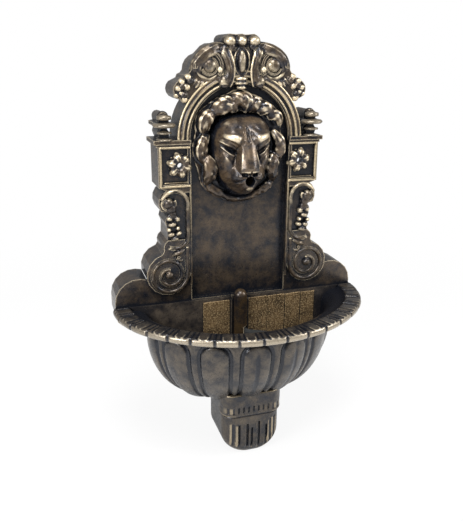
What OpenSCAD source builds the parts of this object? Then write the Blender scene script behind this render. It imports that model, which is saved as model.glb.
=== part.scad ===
// Wall fountain: relief panel with a lion mask, half-round basin, corbel foot, pump and hose.
// Heights are counted up from the underside of the foot and depths out from the wall.
// The finished part hangs in a frame whose origin is on the wall, midway between the two screw holes.

/* [Basin] */
// Width over the rim
rim_w = 410; // [404:1:416]
// Depth from the wall to the front of the rim
rim_depth = 225; // [220:1:230]
// Corner radius of the rim's plan
rim_r = 148; // [146:0.5:149]
// Height of the bowl's underside above the underside of the foot
foot_h = 76; // [70:1:84]
// Height of the rim's top above the widest line of the bowl
flare_h = 49; // [46:1:52]
// Radius of the bowl's round body
body_r = 128; // [126:0.5:130]
// Distance of the body's centre inwards from the rim's edge
body_in = 180; // [178:0.5:182]
// Width of the flat rim band
rim_band = 26; // [24:0.5:28]
// Thickness of the rim band
rim_t = 12; // [10:0.5:13]
// Radius of the hollow under the rim
cove_r = 18; // [16:0.5:20]
// Wall of the bowl
bowl_wall = 5; // [4:0.5:6]
// Height of the bowl's floor above its underside
floor_up = 34; // [32:0.5:38]
// Thickness of the floor over the foot
floor_t = 5; // [4:0.5:6]
// Thickness of the bowl's back wall
back_t = 3; // [2.5:0.5:4]
// Number of tongues round the rim
tongues = 17; // [13:2:21]
// Depth of the notches between the tongues
notch = 3; // [2:0.5:4]

/* [Panel] */
// Height of the screw holes above the underside of the foot
screw_z = 466; // [462:1:470]
// Distance between the screw holes
screw_spacing = 190; // [186:1:194]
// Diameter of the screw holes
screw_d = 8; // [6:0.5:9]
// Thickness of the panel's moulding
wall = 3.5; // [3:0.25:4]
// Height of the ribs on the panel's back
rib_h = 14; // [8:1:24]
// Depth of the plain field
field_y = 43; // [41:0.5:45]
// Depth of the wings
wing_y = 52; // [50:0.5:54]
// Depth of the frame
frame_y = 58; // [57:0.5:60]
// Half width of the field and radius of the niche
niche_r = 78; // [76:0.5:80]
// Radius of the arch
arch_r = 97; // [95:0.5:99]
// Height of the cornice and of the arch's centre above the screw holes
arch_up = 37; // [35:0.5:39]
// Height of the crest above the arch
crest_h = 50; // [46:0.5:54]
// Half width of the screw boxes
box_w = 127; // [125:0.5:129]
// Height of the screw boxes
box_h = 70; // [66:1:74]
// Overhang of the cornice
cornice = 6; // [4:0.5:8]
// Half width of the pilasters
shaft_w = 115; // [113:0.5:117]
// Radius of the wings' shoulder
wing_r = 37; // [34:0.5:40]
// Half width of the wings
wing_w = 200; // [196:0.5:203]
// Height of the plinth behind the basin
plinth_h = 35; // [33:0.5:38]
// Distance of the finials from the middle
finial_x = 116; // [114:0.5:118]
// Radius of a rosette's petals
petal_r = 5; // [4.5:0.25:5.5]
// Petals of a rosette
petals = 8; // [6:1:10]

/* [Scrolls] */
// Radius of the upper scroll loop
loop_r = 20; // [18:0.5:22]
// Radius of the raised roll
roll_r = 3; // [2.5:0.25:3.5]
// Distance of the loops and spirals from the middle
scroll_x = 104; // [102:0.5:106]
// Distance of the lower spiral from the middle
spiral_x = 115; // [113:0.5:117]
// Height of the lower spiral above the rim
spiral_up = 47; // [45:0.5:50]
// Radius of the lower spiral's first turn
spiral_r = 29; // [27:0.5:31]

/* [Mask] */
// Height of the mouth above the field's cornice line, counted down
mouth_down = 54; // [52:0.5:56]
// Radius of the skull
skull_r = 38; // [36:0.5:40]
// How far the nose stands out from the wall
nose_y = 100; // [96:1:104]
// Thickness of the mask's edge
mask_edge = 4; // [3:0.5:5]
// Radius on which the mane's tufts sit
mane_r = 55; // [53:0.5:57]

/* [Water] */
// Outer diameter of the hose
hose_d = 12; // [11.5:0.1:12.5]
// Wall of the hose
hose_wall = 1.5; // [1:0.1:2]
// Bend radius of the hose's middle line
bend_r = 17; // [16:0.5:18]
// Distance of the rising hose from the wall, in front
hose_front = 62; // [61.5:0.25:63]
// Wall of the hose cover
cover_t = 2.5; // [2:0.25:3]
// Height of the hose cover's top above the rim
cover_up = 13; // [10:0.5:16]
// Height of the hose cover
cover_h = 96; // [90:1:100]
// Outer diameter of the spout
spout_d = 12; // [11:0.5:12.5]
// Bore of the spout
spout_bore = 8; // [6:0.5:9]

/* [Drain] */
// Distance of the drain to the left of the middle
drain_x = 20; // [19:0.5:21]
// Distance of the drain from the wall
drain_y = 92; // [90:0.5:94]
// Outer diameter of the drain bush
drain_d = 20; // [18:0.5:21]
// Bore of the drain bush
drain_bore = 15; // [13:0.5:16]
// Diameter of the drain's flange
drain_flange = 30; // [28:0.5:31]

/* [Foot] */
// Width of the foot
foot_w = 96; // [92:1:98]
// Depth of the foot's front from the wall
foot_y = 135; // [130:1:138]
// Corner radius of the foot's front
foot_r = 22; // [20:1:26]
// Radius of the foot's rounded lower end
foot_end_r = 36; // [32:1:40]
// Height of the foot's collar
collar_h = 18; // [14:1:22]
// Overhang of the collar
collar = 2.5; // [1.5:0.5:3.5]
// Number of flutes in the foot
flutes = 7; // [5:2:9]

/* [Pump] */
// Distance of the pump's inlet end from the middle
pump_x = 14; // [13:0.5:15]
// Distance of the pump's axis from the wall
pump_y = 90; // [88:0.5:92]
// Length of the motor block
motor_l = 32; // [30:0.5:34]
// Height and width of the motor block
motor_w = 40; // [38:0.5:41]
// Height of the feet
feet_h = 4; // [3:0.5:5]
// Outer radius of the pump chamber
volute_r = 18; // [17:0.5:18.5]
// Length of the pump chamber
volute_l = 20; // [19:0.5:22]
// Radius of the impeller
impeller_r = 13; // [12:0.5:13.5]
// Blades of the impeller
blades = 6; // [4:1:8]
// Radius of the magnet
magnet_r = 8.5; // [8:0.25:9]
// Radius of the shaft
shaft_r = 1.5; // [1.25:0.25:2]
// Slots in the filter cap
slots = 14; // [10:1:18]

/* [Hidden] */
$fn = 48;

// clearances
seat = 0.3;
slip = 0.25;
run = 0.05;

// heights and depths that follow from the sizes above
body_z = foot_h + sqrt(body_r * body_r - (body_in - rim_r) * (body_in - rim_r));
rim_z = body_z + flare_h;
floor_z = foot_h + floor_up;
arch_z = screw_z + arch_up;
arch_top = arch_z + arch_r;
total_h = arch_top + crest_h;
box_z = arch_z - box_h;
basin_y = wing_y + seat;
inside_y = basin_y + back_t;
foot_back = basin_y + seat;
side_x = rim_w / 2 - rim_r;
side_y = basin_y;
reach = rim_depth - side_y - rim_r;
front_c = (side_x * side_x - reach * reach) / (2 * reach);
front_r = rim_depth - side_y + front_c;
sweep = atan2(side_x, front_c);
half_screw = screw_spacing / 2;
recess = 4;
mouth_z = arch_z - mouth_down;
spiral_z = rim_z + spiral_up;
loop_hi = box_z - loop_r - 5;
loop_lo = spiral_z + 62;
frame_back = frame_y - recess - wall;
hose_r = hose_d / 2;
hose_bore = hose_r - hose_wall;
hose_rear = hose_front - 2 * bend_r;
cross_z = rim_z - 27;

// One copy on each side of the middle
module both() {
    children();
    mirror([1, 0, 0]) children();
}

// Drops the part so that the screw holes lie at height zero
module hang() {
    translate([0, 0, -screw_z]) children();
}

// A flat shape drawn as seen from the front, from one depth to another
module slab(y0, y1) {
    translate([0, -y0, 0]) rotate([90, 0, 0]) linear_extrude(y1 - y0) children();
}

// A ball at a place given by side, depth and height
module ball(x, y, z, r) {
    translate([x, -y, z]) sphere(r);
}

// A coarser ball for the modelled face
module lump(x, y, z, r) {
    translate([x, -y, z]) sphere(r, $fn = 16);
}

// A round bar pointing out from the wall
module peg(x, z, y0, y1, r) {
    translate([x, -y0, z]) rotate([90, 0, 0]) cylinder(h = y1 - y0, r = r);
}

// A tapered round bar pointing out from the wall
module cone(x, z, y0, y1, r0, r1) {
    translate([x, -y0, z]) rotate([90, 0, 0]) cylinder(h = y1 - y0, r1 = r0, r2 = r1);
}

// Points along an arc
function arc(x, z, r, a0, a1, n) = [for (i = [0 : n]) let (a = a0 + (a1 - a0) * i / n)
    [x + r * cos(a), z + r * sin(a)]];

// The same points in a row that runs the other way, on the left
function left(row) = [for (i = [len(row) - 1 : -1 : 0]) [-row[i][0], row[i][1]]];

// Flat band round a centre, whose radius runs from r0 to r1
module strip(x, z, r0, r1, a0, a1, w, p = 1) {
    n = ceil(abs(a1 - a0) * max(r0, r1, 20) / 500);
    polygon(concat(
        [for (i = [0 : n]) let (a = a0 + (a1 - a0) * i / n, r = r0 + (r1 - r0) * pow(i / n, p) + w / 2)
            [x + r * cos(a), z + r * sin(a)]],
        [for (i = [n : -1 : 0]) let (a = a0 + (a1 - a0) * i / n, r = r0 + (r1 - r0) * pow(i / n, p) - w / 2)
            [x + r * cos(a), z + r * sin(a)]]));
}

// Right edge of the crest from the arch up to the crown, drawn in by e
function crest_edge(e) = concat(
    arc(88, arch_top - 27, 14 - e, -100, 50, 6),
    arc(79, arch_top - 11, 7 - e, 0, 90, 2),
    arc(52, arch_top, 24 - e, 0, 75, 4),
    arc(36, arch_top + 20, 18 - e, 50, 100, 2),
    arc(17, arch_top + crest_h - 9, 9 - e, -30, 110, 5),
    arc(0, arch_top + crest_h - 9, 9 - e, 60, 90, 1));

// Right edge of a finial on its box
finial_edge = concat(
    [[finial_x + 5, arch_z]],
    arc(finial_x, arch_z + 9, 8, -30, 50, 3),
    [[finial_x + 4, arch_z + 18], [finial_x + 13, arch_z + 19], [finial_x + 13, arch_z + 24], [finial_x + 7, arch_z + 25]],
    arc(finial_x, arch_z + 31, 8, -10, 90, 4));

// Right edge of a pilaster with its scrolls, drawn in by e
function scroll_edge(e) = concat(
    arc(spiral_x + 1, spiral_z + 1, 34 - e, -12, 75, 4),
    arc(scroll_x + 5, loop_lo - 18, 13.5 - e, -20, 60, 3),
    [[shaft_w - e, loop_lo + 10]],
    arc(scroll_x, loop_hi - 28, 14.5 - e, -40, 70, 3),
    arc(scroll_x, loop_hi + 1, 23.5 - e, -30, 60, 4),
    [[box_w - e, box_z + e]]);

// Right edge of the whole panel from the foot of the plinth to the crown, drawn in by e
function panel_edge(e, finials) = concat(
    arc(wing_w - 20, rim_z - plinth_h + 20, 20 - e, -90, 0, 3),
    arc(wing_w - wing_r, rim_z + 6, wing_r - e, 0, 95, 5),
    scroll_edge(e),
    [[box_w - e, arch_z - 10], [box_w + cornice - e, arch_z - 6], [box_w + cornice - e, arch_z - e]],
    finials ? finial_edge : [],
    finials ? [for (i = [len(finial_edge) - 2 : -1 : 0]) [2 * finial_x - finial_edge[i][0], finial_edge[i][1]]] : [],
    [[arch_r + 1 - e, arch_z - e]],
    arc(0, arch_z, arch_r - e, 0, 36, 6),
    crest_edge(e));

// Outline of the whole panel, drawn in by e
module panel_outline(e, finials = false) {
    row = panel_edge(e, finials);
    polygon(concat(row, left(row)));
}

// Front parts that stand at the depth of the frame, drawn in by e
module frame_outline(e) {
    both() polygon(concat(
        arc(spiral_x + 1, spiral_z + 1, 34 - e, 195, 335, 6),
        scroll_edge(e),
        [[box_w - e, arch_z - 10 - e], [niche_r + e, arch_z - 10 - e], [niche_r + e, spiral_z + 5]]));
}

// Face of the crest
module crest_outline() {
    row = concat(arc(0, arch_z, arch_r - 4, 90, 38, 6), crest_edge(0));
    polygon(concat(row, left(row)));
}

// The niche under the arch with the plain field below it, grown by e
module niche_outline(e) {
    polygon(concat([[niche_r + e, rim_z - e]], arc(0, arch_z, niche_r + e, 0, 180, 24), [[-niche_r - e, rim_z - e]]));
}

// Ring of petals round a screw hole
module rosette(x) {
    for (i = [0 : petals - 1]) {
        a = 360 * i / petals;
        ball(x + 10 * cos(a), frame_y - recess - 0.5, screw_z + 10 * sin(a), petal_r);
    }
    cone(x, screw_z, frame_y - recess - 1, frame_y, 9, 7);
}

// Scrollwork of one pilaster as a flat drawing with lines of width w
module scroll_lines(w) {
    strip(scroll_x, loop_hi, loop_r, loop_r, 20, 180, w);
    translate([scroll_x - loop_r - w / 2, loop_lo]) square([w, loop_hi - loop_lo]);
    strip(scroll_x, loop_lo, loop_r, loop_r, 180, 300, w);
    strip(scroll_x + 9, loop_hi + 1, 10, 10, 150, 420, w * 0.7);
    translate([spiral_x - spiral_r - w / 2, spiral_z]) square([w, loop_lo - spiral_z - loop_r - 12]);
    strip(spiral_x, spiral_z, spiral_r, 8, 180, 820, w, 1.5);
}

// Relief of one pilaster: scrollwork, husks and eye
module pilaster_relief() {
    slab(frame_y - recess - 1, frame_y + 1) scroll_lines(2 * roll_r);
    slab(frame_y - recess - 1, frame_y + roll_r - 0.5) scroll_lines(roll_r);
    ball(scroll_x + 9, frame_y - 1, loop_hi + 1, 6.5);
    ball(scroll_x + 8, frame_y - 2, loop_hi - 19, 5);
    ball(scroll_x - 3, frame_y - 2, loop_hi - 24, 4.5);
    ball(scroll_x + 6, frame_y - 2, loop_hi - 32, 5);
    ball(scroll_x + 5, frame_y - 2, loop_hi - 48, 5.5);
    ball(scroll_x - 5.5, frame_y - 2, loop_hi - 47, 4);
    ball(spiral_x, frame_y - 1, spiral_z + 1, 5);
    cone(scroll_x - 4, loop_lo - 34, frame_y - 2, frame_y + 3, 5, 2.5);
}

// Scrollwork of one half of the crest
module crest_lines(w) {
    strip(50, arch_top + 6, 19, 19, -10, 220, w);
    strip(49, arch_top + 6, 11.5, 11.5, 110, 340, w * 0.6);
    polygon([[15, arch_top + 36], [15 + w, arch_top + 36], [26 + w / 2, arch_top - 18], [26 - w / 2, arch_top - 18]]);
}

// One half of the crest's leaf scroll
module crest_relief() {
    slab(frame_y - 1, frame_y + 2) crest_lines(8);
    slab(frame_y - 1, frame_y + 4) crest_lines(4);
    ball(50, frame_y - 1, arch_top + 6, 9);
    ball(16, frame_y, arch_top + 33, 6);
    ball(27, frame_y + 1, arch_top - 20, 6.5);
    ball(77, frame_y - 1, arch_top - 14, 6);
    ball(89, frame_y - 1, arch_top - 22, 6);
    ball(87, frame_y - 1, arch_top - 34, 6);
    ball(17, frame_y - 3, arch_top + crest_h - 10, 8);
}

// Turned finial, half sunk in its own flank
module finial(x) {
    translate([x, -frame_y + 15, arch_z]) rotate_extrude() polygon(concat(
        [[0, -1], [10, -1], [10, 2.5], [7.5, 4]],
        [for (a = [-40 : 20 : 50]) [9 * cos(a), 10 + 6 * sin(a)]],
        [[4.5, 17], [14, 18.5], [15, 21], [14, 24], [8.5, 26]],
        [for (a = [-10 : 20 : 90]) [9 * cos(a), 32 + 9 * sin(a)]]));
}

// Ring that stiffens a screw hole on the panel's back
module boss(x, z, y0, y1, r) {
    peg(x, z, y0, y1, r);
}

module back_panel() {
    color("#5b4a36") hang() difference() {
        union() {
            difference() {
                union() {
                    slab(0, wing_y) panel_outline(0, true);
                    slab(wing_y, frame_y) frame_outline(0);
                    slab(wing_y, frame_y - 2) strip(0, arch_z, niche_r + 5, niche_r + 5, 0, 180, 10);
                    slab(wing_y, frame_y) strip(0, arch_z, arch_r - 4.5, arch_r - 4.5, 0, 180, 9);
                    slab(wing_y, frame_y) difference() {
                        crest_outline();
                        translate([-10, arch_top - 6]) square([20, 36]);
                    }
                    both() slab(wing_y, frame_y + 3) translate([niche_r, arch_z - 6])
                        square([box_w + cornice - niche_r, 6]);
                    both() slab(wing_y, frame_y + 1) translate([niche_r, arch_z - 10])
                        square([box_w + 2 - niche_r, 4]);
                }
                slab(field_y, frame_y + 20) niche_outline(0);
                both() slab(frame_y - recess, frame_y + 1) translate([niche_r + 5, box_z + 5])
                    square([box_w - niche_r - 10, box_h - 18]);
                both() slab(frame_y - recess, frame_y + 1) translate([niche_r + 2.2, loop_lo - 6])
                    square([shaft_w - niche_r + 20, box_z - loop_lo - 2]);
                slab(-1, field_y - wall) panel_outline(wall);
                slab(-1, wing_y - wall) difference() {
                    panel_outline(wall);
                    niche_outline(wall);
                }
                slab(-1, frame_back) difference() {
                    frame_outline(wall);
                    niche_outline(wall);
                }
            }
            both() {
                rosette(half_screw);
                pilaster_relief();
                crest_relief();
                finial(finial_x);
            }
            ball(0, frame_y - 2.5, arch_top + crest_h - 10, 8);
            slab(wing_y - 1, frame_y + 1) polygon(concat(arc(0, arch_top + 22, 5, 0, 180, 6), arc(0, arch_top, 5, 180, 360, 6)));
            slab(wing_y - 1, frame_y + 1.5) polygon([[-7, arch_top - 17], [7, arch_top - 17], [8.5, arch_top - 8], [-8.5, arch_top - 8]]);
            slab(0, field_y - wall + 0.5) translate([4 - niche_r, screw_z - 3]) square([2 * niche_r - 8, 6]);
            both() slab(field_y - wall - rib_h, field_y - wall + 0.5) translate([niche_r - 22, rim_z + 8])
                square([wall, arch_z + 38 - rim_z]);
            slab(field_y - wall - rib_h, field_y - wall + 0.5) translate([-arch_r + 6, arch_z - 6]) square([2 * arch_r - 12, wall]);
            slab(field_y - wall - rib_h, field_y - wall + 0.5) translate([-wing_w + 6, rim_z + 12]) square([2 * wing_w - 12, wall]);
            both() boss(24, arch_z + 16, field_y - wall - 6, field_y - wall + 0.5, 6);
            both() boss(24, mouth_z - 10, field_y - wall - 6, field_y - wall + 0.5, 6);
            for (z = clip_z) both() boss(14, z, hose_rear + 2, field_y - wall + 0.5, 5);
        }
        both() peg(half_screw, screw_z, 0, frame_y + 10, screw_d / 2);
        peg(0, mouth_z, 0, frame_y, spout_d / 2 - 1 + slip);
        both() for (z = [arch_z + 16, mouth_z - 10]) peg(24, z, 0, field_y + 1, 2 + slip);
        for (z = clip_z) both() peg(14, z, 0, field_y - wall - 1, 1.5 + run);
        for (x = bolt_x) peg(x, bolt_z, 0, wing_y + 1, 6.5 + slip);
        peg(0, cross_z + 14, 0, wing_y + 1, 11);
        slab(-1, hose_rear + hose_r + 1) translate([-8, cross_z + 2]) square([16, mouth_z - cross_z - 4]);
        slab(-1, hose_rear + hose_r + 6) translate([-10, mouth_z - 16]) square([20, 28]);
    }
}

clip_z = [rim_z + 60, rim_z + 150];
bolt_out = rim_w / 2 - 55;
bolt_x = [-bolt_out, -bolt_out + 72, bolt_out - 72, bolt_out];
bolt_z = rim_z - 17;

// One lock of the mane, from its root to its tip
module lock(x0, z0, x1, z1, y, r) {
    hull() {
        translate([x0, -y, z0]) sphere(r, $fn = 10);
        translate([x1, -y + 6, z1]) sphere(r * 0.45, $fn = 8);
    }
}

// Locks set round the face, seen from the front
module mane() {
    for (a = [8 : 23.4 : 172]) {
        x = mane_r * cos(a);
        z = arch_z - 12 + mane_r * sin(a);
        lock(x * 0.86, z - 2, x * 1.14 + 4 * cos(3 * a), z + 7 * sin(a), 58, 11);
    }
    for (s = [-1, 1]) {
        lock(s * 50, arch_z - 22, s * 63, arch_z - 44, 54, 9);
        lock(s * 50, arch_z - 46, s * 64, arch_z - 62, 54, 9);
        lock(s * 44, arch_z - 62, s * 52, arch_z - 84, 52, 9);
        lock(s * 30, arch_z - 74, s * 34, arch_z - 96, 52, 9);
    }
    lock(0, arch_z - 80, 2, arch_z - 98, 54, 10);
}

// Skull, brows, cheeks, muzzle and chin
module face() {
    hull() {
        lump(0, 48, arch_z - 6, skull_r);
        lump(0, 58, arch_z - 24, skull_r - 4);
    }
    hull() {
        lump(-15, nose_y - 26, arch_z - 6, 13);
        lump(15, nose_y - 26, arch_z - 6, 13);
    }
    for (s = [-1, 1]) hull() {
        lump(s * 12, nose_y - 18, arch_z - 10, 6);
        lump(s * 34, nose_y - 32, arch_z - 4, 6);
    }
    hull() {
        lump(0, nose_y - 18, arch_z - 10, 9);
        lump(0, nose_y - 9, mouth_z + 16, 9);
    }
    hull() {
        lump(-7, nose_y - 6, mouth_z + 14, 6);
        lump(7, nose_y - 6, mouth_z + 14, 6);
    }
    for (s = [-1, 1]) hull() {
        lump(s * 12, nose_y - 18, mouth_z + 6, 12);
        lump(s * 24, nose_y - 40, mouth_z + 18, 17);
    }
    hull() {
        lump(-7, nose_y - 30, mouth_z - 9, 9);
        lump(7, nose_y - 30, mouth_z - 9, 9);
    }
    for (s = [-1, 1]) lump(s * 27, nose_y - 32, arch_z - 17, 6);
}

// Flat edge of the mask, where it lies on the niche
module mask_outline() {
    translate([0, arch_z - 4]) circle(58);
    both() {
        translate([44, arch_z - 44]) circle(19);
        translate([36, arch_z - 66]) circle(19);
        translate([58, arch_z - 12]) circle(9);
    }
    translate([0, arch_z - 76]) circle(20);
    translate([-40, arch_z - 70]) square([80, 60]);
}

module lion_mask() {
    color("#6a5439") hang() difference() {
        union() {
            slab(field_y, field_y + mask_edge) mask_outline();
            intersection() {
                union() {
                    face();
                    mane();
                }
                slab(field_y, nose_y + 20) translate([-80, arch_z - 110]) square([160, 190]);
            }
        }
        hull() {
            lump(0, field_y, arch_z - 8, skull_r - 8);
            lump(0, field_y, mouth_z + 4, 16);
        }
        peg(0, mouth_z, field_y - 1, nose_y, spout_d / 2 + slip);
        cone(0, mouth_z, nose_y - 32, nose_y, spout_d / 2 + slip, 12);
        both() for (z = [arch_z + 16, mouth_z - 10]) peg(24, z, field_y - 1, field_y + 9, 1.5 + run);
    }
}

// A screw that points out from the wall, with its head at the back
module screw(x, z, y, l, r, head_r, head_h) {
    peg(x, z, y, y + l, r);
    difference() {
        peg(x, z, y - head_h, y, head_r);
        slab(y - head_h - 1, y - head_h + 1) translate([x - head_r, z - 0.5]) square([2 * head_r, 1]);
    }
}

module mask_screws() {
    color("#b9b9b4") hang() both() for (z = [arch_z + 16, mouth_z - 10])
        screw(24, z, field_y - wall - 6, wall + 14, 1.5, 4, 2.2);
}

module spout() {
    color("#8c7a55") hang() difference() {
        union() {
            peg(0, mouth_z, field_y, nose_y - 24, spout_d / 2);
            peg(0, mouth_z, field_y, field_y + 3, spout_d / 2 + 3);
            peg(0, mouth_z, field_y - 16, field_y, spout_d / 2 - 1);
        }
        peg(0, mouth_z, field_y - 17, nose_y, spout_bore / 2);
    }
}

module spout_nut() {
    color("#8c7a55") hang() difference() {
        translate([0, wall - field_y, mouth_z]) rotate([-90, 0, 0]) cylinder(h = 5, r = 10, $fn = 6);
        peg(0, mouth_z, 0, field_y, spout_d / 2 - 1 + run);
    }
}

module elbow() {
    color("#3a3a38") hang() difference() {
        union() {
            peg(0, mouth_z, hose_rear, field_y - wall - 5, spout_d / 2 + 1.5);
            translate([0, -hose_rear, mouth_z]) sphere(spout_d / 2 + 1.5);
            translate([0, -hose_rear, mouth_z - 11]) cylinder(h = 11, r = hose_r);
            translate([0, -hose_rear, mouth_z - 22]) cylinder(h = 12, r = hose_bore - run);
        }
        peg(0, mouth_z, field_y - 16 - run, field_y, spout_d / 2 - 1 + run);
        peg(0, mouth_z, hose_rear, field_y, spout_bore / 2 - 0.5);
        translate([0, -hose_rear, mouth_z - 23]) cylinder(h = 23, r = hose_bore - 1.5);
    }
}

// Stations of the hose from the pump to the elbow: place, lean from upright and heading of the lean
function rise(x, y, z, head, n = 6) = [for (i = [0 : n]) let (a = 90 * i / n)
    [x + bend_r * (1 - cos(a)) * cos(head), y + bend_r * (1 - cos(a)) * sin(head), z + bend_r * sin(a), a, head]];
function climb(x, y, z, head, n = 6) = [for (i = [n : -1 : 0]) let (a = 90 * i / n)
    [x - bend_r * (1 - cos(a)) * cos(head), y - bend_r * (1 - cos(a)) * sin(head), z - bend_r * sin(a), a, head]];

// One ring of n points round a station
function ring(s, r, n) = [for (i = [0 : n - 1]) let (a = 360 * i / n, h = s[4], c = cos(s[3]), k = r * sin(a - h) * (1 - c)) [
    s[0] + r * cos(a) * c - sin(h) * k,
    s[1] + r * sin(a) * c + cos(h) * k,
    s[2] - r * cos(a - h) * sin(s[3])]];

// A tube with n sides along a row of stations
module tube(stations, r_out, r_in, n) {
    m = len(stations);
    points = concat([for (s = stations) each ring(s, r_out, n)], [for (s = stations) each ring(s, r_in / cos(180 / n), n)]);
    inner = m * n;
    polyhedron(points, concat(
        [for (i = [0 : m - 2], j = [0 : n - 1]) let (k = (j + 1) % n) [i * n + j, (i + 1) * n + j, (i + 1) * n + k, i * n + k]],
        [for (i = [0 : m - 2], j = [0 : n - 1]) let (k = (j + 1) % n)
            [inner + i * n + j, inner + i * n + k, inner + (i + 1) * n + k, inner + (i + 1) * n + j]],
        [for (j = [0 : n - 1]) let (k = (j + 1) % n) [j, k, inner + k, inner + j]],
        [for (j = [0 : n - 1]) let (k = (j + 1) % n, t = (m - 1) * n) [t + j, inner + t + j, inner + t + k, t + k]]),
        convexity = 6);
}

// The hose leaves the pump upwards, crosses to the middle, climbs behind its cover and passes into the panel
module riser_hose() {
    color("#3d4a46") hang() tube(concat(
        [[out_x, -pump_y, hose_low, 0, hose_head]],
        rise(out_x, -pump_y, hose_low + 6, hose_head),
        climb(0, -hose_front, hose_level + bend_r, hose_head),
        rise(0, -hose_front, cross_z, 90),
        climb(0, -hose_rear, cross_z + 2 * bend_r, 90),
        [[0, -hose_rear, mouth_z - 11, 0, 90]]), hose_r, hose_bore, 16);
}

module hose_clips() {
    color("#2e2e2d") hang() for (z = clip_z) difference() {
        union() {
            translate([0, -hose_rear, z - 5]) cylinder(h = 10, r = hose_r + 2);
            both() translate([0, -hose_rear - 2, z - 5]) cube([19, 2, 10]);
        }
        translate([0, -hose_rear, z - 6]) cylinder(h = 12, r = hose_r + slip);
        translate([-hose_r - slip, -hose_rear - 20, z - 6]) cube([hose_d + 2 * slip, 20, 12]);
        both() peg(14, z, hose_rear - 3, hose_rear + 4, 1.5 + slip);
    }
}

module clip_screws() {
    color("#b9b9b4") hang() for (z = clip_z) both() screw(14, z, hose_rear, 10, 1.5, 3, 1.8);
}

// Section of the basin's outer form, with distance from the rim's edge to the right
module section_outer() {
    low = asin((foot_h - body_z) / body_r);
    end = acos((rim_r - body_in) / body_r);
    polygon(concat(
        [[rim_r, rim_z]],
        arc(rim_t / 2, rim_z - rim_t / 2, rim_t / 2, 90, 270, 6),
        arc(34, rim_z - rim_t - cove_r, cove_r, 90, 0, 6),
        arc(body_in, body_z, body_r, 180, 360 - end, 16)));
}

// Section of the hollow
module section_inner() {
    flare = cove_r + bowl_wall;
    r = body_r - bowl_wall;
    cove_z = rim_z - rim_t - cove_r;
    low = asin((body_z - floor_z) / r);
    polygon(concat(
        [[rim_r, rim_z + 10], [rim_band, rim_z + 10], [rim_band, rim_z - rim_t + bowl_wall]],
        arc(34, cove_z, flare, 90, 0, 6),
        arc(body_in, body_z, r, 180, 180 + low, 10),
        [[rim_r, floor_z]]));
}

// The basin's plan: two side arcs that start square to the wall, and a flatter front arc
module plan(z0, z1) {
    both() translate([side_x, -side_y, 0]) rotate([0, 0, sweep - 90]) rotate_extrude(angle = 90 - sweep, $fn = 96)
        translate([rim_r, 0]) mirror([1, 0]) children();
    translate([0, front_c - side_y, 0]) rotate([0, 0, -90 - sweep]) rotate_extrude(angle = 2 * sweep, $fn = 96)
        translate([front_r, 0]) mirror([1, 0]) children();
    translate([0, 0, z0]) linear_extrude(z1 - z0) intersection() {
        translate([-side_x - 9, -side_y - front_r]) square([2 * side_x + 18, front_r]);
        translate([0, front_c - side_y]) circle(front_r - rim_r + 2, $fn = 96);
    }
}

// Notches between the rim's tongues along the front and side arcs
module tongue_notches() {
    arc_side = 90 - sweep;
    len_side = arc_side * PI / 180 * rim_r;
    len_front = 2 * sweep * PI / 180 * front_r;
    pitch = (2 * len_side + len_front) / tongues;
    for (i = [0 : (tongues - 1) / 2]) {
        s = (i + 0.5) * pitch;
        a = s / front_r * 180 / PI;
        b = (s - len_front / 2) / rim_r * 180 / PI;
        both() if (a < sweep) {
            translate([front_r * sin(a), front_c - side_y - front_r * cos(a), rim_z - rim_t - 1])
                cylinder(h = rim_t + 2, r = notch);
        } else if (b < arc_side - 1) {
            translate([side_x + rim_r * sin(sweep + b), -side_y - rim_r * cos(sweep + b), rim_z - rim_t - 1])
                cylinder(h = rim_t + 2, r = notch);
        }
    }
}

module basin() {
    color("#57493a") hang() difference() {
        union() {
            difference() {
                plan(foot_h + 0.6, rim_z) section_outer();
                difference() {
                    plan(floor_z, rim_z + 10) section_inner();
                    translate([-rim_w, -inside_y, foot_h]) cube([2 * rim_w, 20, rim_z]);
                }
                tongue_notches();
                translate([pocket_x0, -pocket_y1, foot_h - 5])
                    cube([-2 * pocket_x0, pocket_y1 - pocket_y0, floor_up - floor_t + 5]);
            }
            both() translate([rail_x, -inside_y - cover_lip - 0.4 - 2, cover_z - 2])
                cube([3, cover_lip + 2.4 + 0.5, cover_rail + 2]);
            both() translate([rail_x - 2, -inside_y - cover_lip - 0.4 - 2, cover_z - 2])
                cube([3, 2, cover_rail + 2]);
            both() translate([rail_x - 2, -inside_y - cover_lip - 1, cover_z - 2]) cube([3, cover_lip + 1.5, 2]);
            for (x = bolt_x) peg(x, bolt_z, wing_y - wall - 4, basin_y + 0.5, 6.5);
        }
        for (x = bolt_x) peg(x, bolt_z, wing_y - wall - 5, basin_y + 1, 2 + run);
        translate([-drain_x, -drain_y, floor_z - floor_t - 1]) cylinder(h = floor_t + 2, r = drain_d / 2 + slip);
        slab(basin_y - 1, inside_y + 1) translate([-hose_r - 2, cross_z + 3]) square([hose_d + 4, 22]);
    }
}

// Pocket under the floor that takes the foot's spigot
pocket_x0 = -foot_w / 2 + 8;
pocket_y0 = basin_y + 6;
pocket_y1 = foot_y - 16;

// Cover sizes
cover_r = hose_r + 2.5 + cover_t;
cover_z = rim_z + cover_up - cover_h;
cover_lip = 2;
cover_rail = cover_h - cover_up - 6;
rail_x = cover_r + 2 + slip;

module basin_screws() {
    color("#b9b9b4") hang() for (x = bolt_x) difference() {
        union() {
            screw(x, bolt_z, wing_y - wall - 5.5, 9, 2, 4, 3);
            peg(x, bolt_z, wing_y - wall - 5.5, wing_y - wall - 4, 9);
        }
    }
}

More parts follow.
